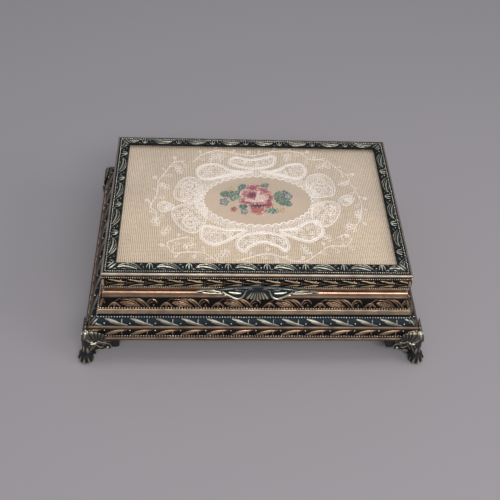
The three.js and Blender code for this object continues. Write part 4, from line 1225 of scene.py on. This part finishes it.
class TRINKET_OT_thumb_lift(bpy.types.Operator):
    """Form the thumb lift: a fluted fan shell between two scrolled wings"""

    bl_idname = "mesh.trinket_thumb_lift"
    bl_label = "Thumb Lift"

    def execute(self, context):
        low, high = box_mm("thumb_lift")
        span, half_length = high.z - low.z, high.x
        x = np.linspace(-half_length, half_length, 340)[:, None]
        share = np.abs(x) / half_length
        top, bottom = (np.interp(share, LIFT_OUTLINE[:, 0], line) * span for line in LIFT_OUTLINE[:, 1:].T)
        t = np.linspace(0, 1, 44)[None]
        level = top + (bottom - top) * t
        x = np.broadcast_to(x, level.shape)
        spread = np.arctan2(x, span + 1 - level) / math.atan2(SHELL_HALF, span + 1)
        fade = np.clip((span - level) / span, 0, 1)
        shell = np.clip((1.02 - np.abs(spread)) / 0.04, 0, 1) * np.clip((6.2 - level) / 3.4, 0, 1)
        flutes = np.abs(np.cos(spread * FLUTES * QUARTER)) ** 1.3
        height = shell * flutes * (0.62 + 0.5 * fade)
        for line in WING_STROKES:
            height = np.maximum(height, stroke_height(np.abs(x), level, line, (1, 1), 13))
        level = level + 0.55 * (1 - flutes) * shell * np.clip(t * 3 - 2, 0, 1)
        back = -low.y - LIFT_DEPTH - HALF_DEPTH - 2.0 * np.clip(level / 5.5, 0, 1) ** 0.8
        edge = np.clip(np.minimum(t, 1 - t) / 0.06, 0, 1) ** 0.5
        front = back + 0.45 + 0.45 * edge + 0.7 * height * edge

        def closed(facing, behind):
            """Values down the front and up the back, ended where they began."""
            return np.concatenate([facing, behind[:, ::-1], facing[:, :1]], 1)

        points = np.stack([closed(x, x), -(HALF_DEPTH + closed(front, back)), closed(level, level) + low.z], 2)
        piece = pressed_grid("thumb_lift_chased", points)
        set_relief(piece, (0.05 + 0.95 * closed(height, np.zeros_like(height))).transpose(1, 0))
        close_ends(piece)
        smooth(piece, 50)
        c = context.scene.trinket_finish
        # Its unchased hollow is a dark patina with a painted blue-grey reflection.
        piece.data.materials.append(aged_metal("chased_thumb_lift", c.bronze_edge, c.lift_patina_painted_blue_reflection, 0.3, 0.42))
        place(piece, "lid", "dark_gilt", "thumb_lift")
        return {"FINISHED"}


# Inside and underneath


def plain_metal(name, colour, roughness):
    """Drawn or rolled metal, lightly tarnished: soft patches and a fine grain break its shine."""
    finish, tree = new_material(name)
    coordinates = add_node(tree, "TexCoord", {}, "Object")
    patches = add_node(tree, "TexNoise", {"Scale": 1 / (7 * MM), "Detail": 5, "Vector": coordinates})
    grain = add_node(tree, "TexNoise", {"Scale": 1 / (0.5 * MM), "Detail": 4, "Vector": coordinates})
    metal = toned(tree, colour, patches, (0.3, 0.7), (0.62, 1.05))
    rough = add_node(tree, "MapRange", {"Value": grain, "To Min": roughness - 0.1, "To Max": roughness + 0.2})
    return surface(finish, metal, {"Metallic": 1.0, "Roughness": rough}, grain, 0.2, 0.05)


def pile_material(name, colour, pile):
    """Cotton velvet: short pile that darkens head on and catches light at the edge, laid in soft patches."""
    finish, tree = new_material(name)
    coordinates = add_node(tree, "TexCoord", {}, "Object")
    nap = add_node(tree, "TexNoise", {"Scale": 1 / (14 * MM), "Detail": 4, "Distortion": 0.6, "Vector": coordinates})
    fibre = add_node(tree, "TexNoise", {"Scale": 1 / (pile * MM), "Detail": 2, "Vector": coordinates})
    both = add_node(tree, "Math", {"operation": "MULTIPLY_ADD", 0: fibre, 1: 0.5, 2: nap})
    cloth = toned(tree, colour, both, (0.5, 1.0), (0.8, 1.1))
    sheen = {"Roughness": 0.9, "Sheen Weight": 0.3, "Sheen Roughness": 0.35}
    return surface(finish, cloth, sheen, fibre, 0.7, 0.2)


def card_material(name, colour):
    """Pressed grey card: matt, with flecks of fibre."""
    finish, tree = new_material(name)
    coordinates = add_node(tree, "TexCoord", {}, "Object")
    fleck = add_node(tree, "TexNoise", {"Scale": 1 / (1.2 * MM), "Detail": 6, "Vector": coordinates})
    card = toned(tree, colour, fleck, (0.3, 0.7), (0.85, 1.05))
    return surface(finish, card, {"Roughness": 0.9}, fleck, 0.2, 0.05)


def crowned_pad(name, node, upward, crown):
    """A velvet-covered pad: flat on its board, crowned and drawn in at the edge on its open side."""
    low, high = box_mm(node)
    side = high.z - low.z - crown
    piece = start_piece(name, bpy.ops.mesh.primitive_grid_add, x_subdivisions=84, y_subdivisions=54, size=1)
    move_vertices(piece, vertex_values(piece) * (2 * high.x, 2 * high.y, 0))
    modify(piece, "SOLIDIFY", thickness=side * MM, offset=1)
    modify(piece, "BEVEL", width=0.8 * MM, segments=4)
    points = vertex_values(piece) / MM
    across, down = points[:, 0] / high.x, points[:, 1] / high.y
    swell = np.clip(1 - across ** 8, 0, 1) ** 0.5 * np.clip(1 - down ** 8, 0, 1) ** 0.5
    pucker = 0.06 * np.sin(points[:, 0] * 1.1) * np.clip(np.abs(down) * 5 - 4, 0, 1)
    pucker += 0.06 * np.sin(points[:, 1] * 1.1) * np.clip(np.abs(across) * 6 - 5, 0, 1)
    share = np.clip(points[:, 2] / side, 0, 1)
    points[:, 2] += share * (swell * (crown - 0.15) + pucker)
    points[:, :2] *= (1 - 0.004 * np.sin(share * math.pi))[:, None]
    points[:, 2] = low.z + points[:, 2] if upward else high.z - points[:, 2]
    move_vertices(piece, points)
    edit(piece, bpy.ops.mesh.normals_make_consistent, inside=False)
    smooth(piece, 50)
    return piece


class TRINKET_OT_interior(bpy.types.Operator):
    """Line the box and the lid with velvet and finish the board, the bottom plate, hinges and screws"""

    bl_idname = "mesh.trinket_interior"
    bl_label = "Interior"

    def execute(self, context):
        c = context.scene.trinket_finish
        velvet = pile_material("cotton_velvet", c.velvet, 0.35)
        for name, node, upward, body in (("floor_pad_velvet", "floor_pad", True, "box"),
                                         ("lid_pad_velvet", "lid_lining", False, "lid")):
            pad = crowned_pad(name, node, upward, 0.7)
            pad.data.materials.append(velvet)
            place(pad, body, "velvet", node)
        for side in SIDES:
            dress(f"wall_lining_{side}", velvet)
        dress("panel_board", card_material("grey_card", srgb("8c8378")))
        # The bottom plate shares the plain gilt colour, which is painted lighter as a reflection.
        dress("bottom_plate", plain_metal("rolled_brass_plate", c.plain_gilt, 0.45))
        brass = plain_metal("drawn_hinge_brass", srgb("b9985f"), 0.35)
        steel = plain_metal("turned_screw_steel", srgb("9a9a98"), 0.35)
        for hand in ("left", "right"):
            for part in ("lid_leaf", "box_leaf", "pin"):
                dress(f"hinge_{part}_{hand}", brass)
        for corner in CORNERS:
            dress(f"foot_screw_{corner}", steel)
        return {"FINISHED"}


# Lamps: name, place, width and depth in metres, power in watts. All face a point inside the box.
LAMPS = (("overhead_lamp", (-0.1, 0.1, 0.95), 0.4, 0.4, 2.3), ("front_lamp", (0.14, -0.6, 0.74), 0.72, 0.26, 5.1),
         ("window_lamp", (1.1, -0.35, 0.8), 0.7, 0.7, 5.0))
LAMP_TARGET = Vector((0, 0, 0.03))


def photo_camera(s):
    """The camera at its bearing from the target, tilted about its line of sight."""
    back = Vector((math.sin(s.azimuth) * math.cos(s.elevation), -math.cos(s.azimuth) * math.cos(s.elevation),
                   math.sin(s.elevation)))
    right = Vector((math.cos(s.azimuth), math.sin(s.azimuth), 0))
    above = back.cross(right)
    axes = (math.cos(s.roll) * right + math.sin(s.roll) * above,
            math.cos(s.roll) * above - math.sin(s.roll) * right, back)
    camera = start_piece("photo_camera", bpy.ops.object.camera_add)
    camera.matrix_world = (Matrix.Translation(Vector(s.target) + back * s.distance)
                           @ Matrix(axes).transposed().to_4x4())
    camera.data.lens = s.lens
    camera.data.sensor_width = 36
    camera.data.clip_start = 0.01
    return camera


def floor_material(colour):
    """Matt painted board: the camera sees its colour, with the object's shadow."""
    finish, tree = new_material("matt_floor_board")
    return close_material(finish, add_node(tree, "BsdfPrincipled", {"Base Color": colour, "Roughness": 0.9}))


class TRINKET_OT_stage(bpy.types.Operator):
    """Set the pale floor, the soft lamps and the camera"""

    bl_idname = "scene.trinket_stage"
    bl_label = "Stage"

    def execute(self, context):
        s, scene = context.scene.trinket_stage, context.scene
        scene.view_settings.view_transform = "Standard"
        scene.camera = photo_camera(s)
        floor = start_piece("floor", bpy.ops.mesh.primitive_plane_add, size=3)
        floor.data.materials.append(floor_material(s.floor))
        for name, place_at, wide, deep, power in LAMPS:
            lamp = start_piece(name, bpy.ops.object.light_add, type="AREA", location=place_at)
            lamp.data.shape = "ELLIPSE"
            lamp.data.size, lamp.data.size_y = wide, deep
            lamp.data.energy = power
            lamp.rotation_euler = (LAMP_TARGET - Vector(place_at)).to_track_quat("-Z", "Y").to_euler()
        scene.world = bpy.data.worlds.new("studio")
        scene.world.use_nodes = True
        tree = scene.world.node_tree
        tree.nodes.clear()
        add_node(tree, "OutputWorld",
                 {"Surface": add_node(tree, "Background", {"Color": srgb("b7bcc6"), "Strength": 0.78})})
        return {"FINISHED"}


class TRINKET_PT_panel(bpy.types.Panel):
    """Sidebar list of the box's pieces"""

    bl_idname = "TRINKET_PT_panel"
    bl_label = "Trinket Box"
    bl_space_type = "VIEW_3D"
    bl_region_type = "UI"
    bl_category = "Trinket Box"

    def draw(self, context):
        for group in GROUPS:
            settings = getattr(context.scene, group)
            box = self.layout.box()
            for name in settings.__annotations__:
                box.prop(settings, name)
        for operator in OPERATORS:
            self.layout.operator(operator.bl_idname)


GROUPS = {"trinket_moulding": TRINKET_PG_moulding, "trinket_finish": TRINKET_PG_finish,
          "trinket_lace": TRINKET_PG_lace, "trinket_stage": TRINKET_PG_stage}
OPERATORS = (TRINKET_OT_stage, TRINKET_OT_mouldings, TRINKET_OT_lace_panel, TRINKET_OT_glass, TRINKET_OT_feet,
             TRINKET_OT_thumb_lift, TRINKET_OT_interior)


def register():
    for cls in (*GROUPS.values(), *OPERATORS, TRINKET_PT_panel):
        bpy.utils.register_class(cls)
    for name, group in GROUPS.items():
        setattr(bpy.types.Scene, name, bpy.props.PointerProperty(type=group))


def unregister():
    for name in GROUPS:
        delattr(bpy.types.Scene, name)
    for cls in reversed((*GROUPS.values(), *OPERATORS, TRINKET_PT_panel)):
        bpy.utils.unregister_class(cls)


def main():
    register()
    bpy.ops.scene.trinket_stage()
    bpy.ops.mesh.trinket_mouldings()
    bpy.ops.mesh.trinket_lace_panel()
    bpy.ops.mesh.trinket_glass()
    bpy.ops.mesh.trinket_feet()
    bpy.ops.mesh.trinket_thumb_lift()
    bpy.ops.mesh.trinket_interior()


if __name__ == "__main__":
    main()
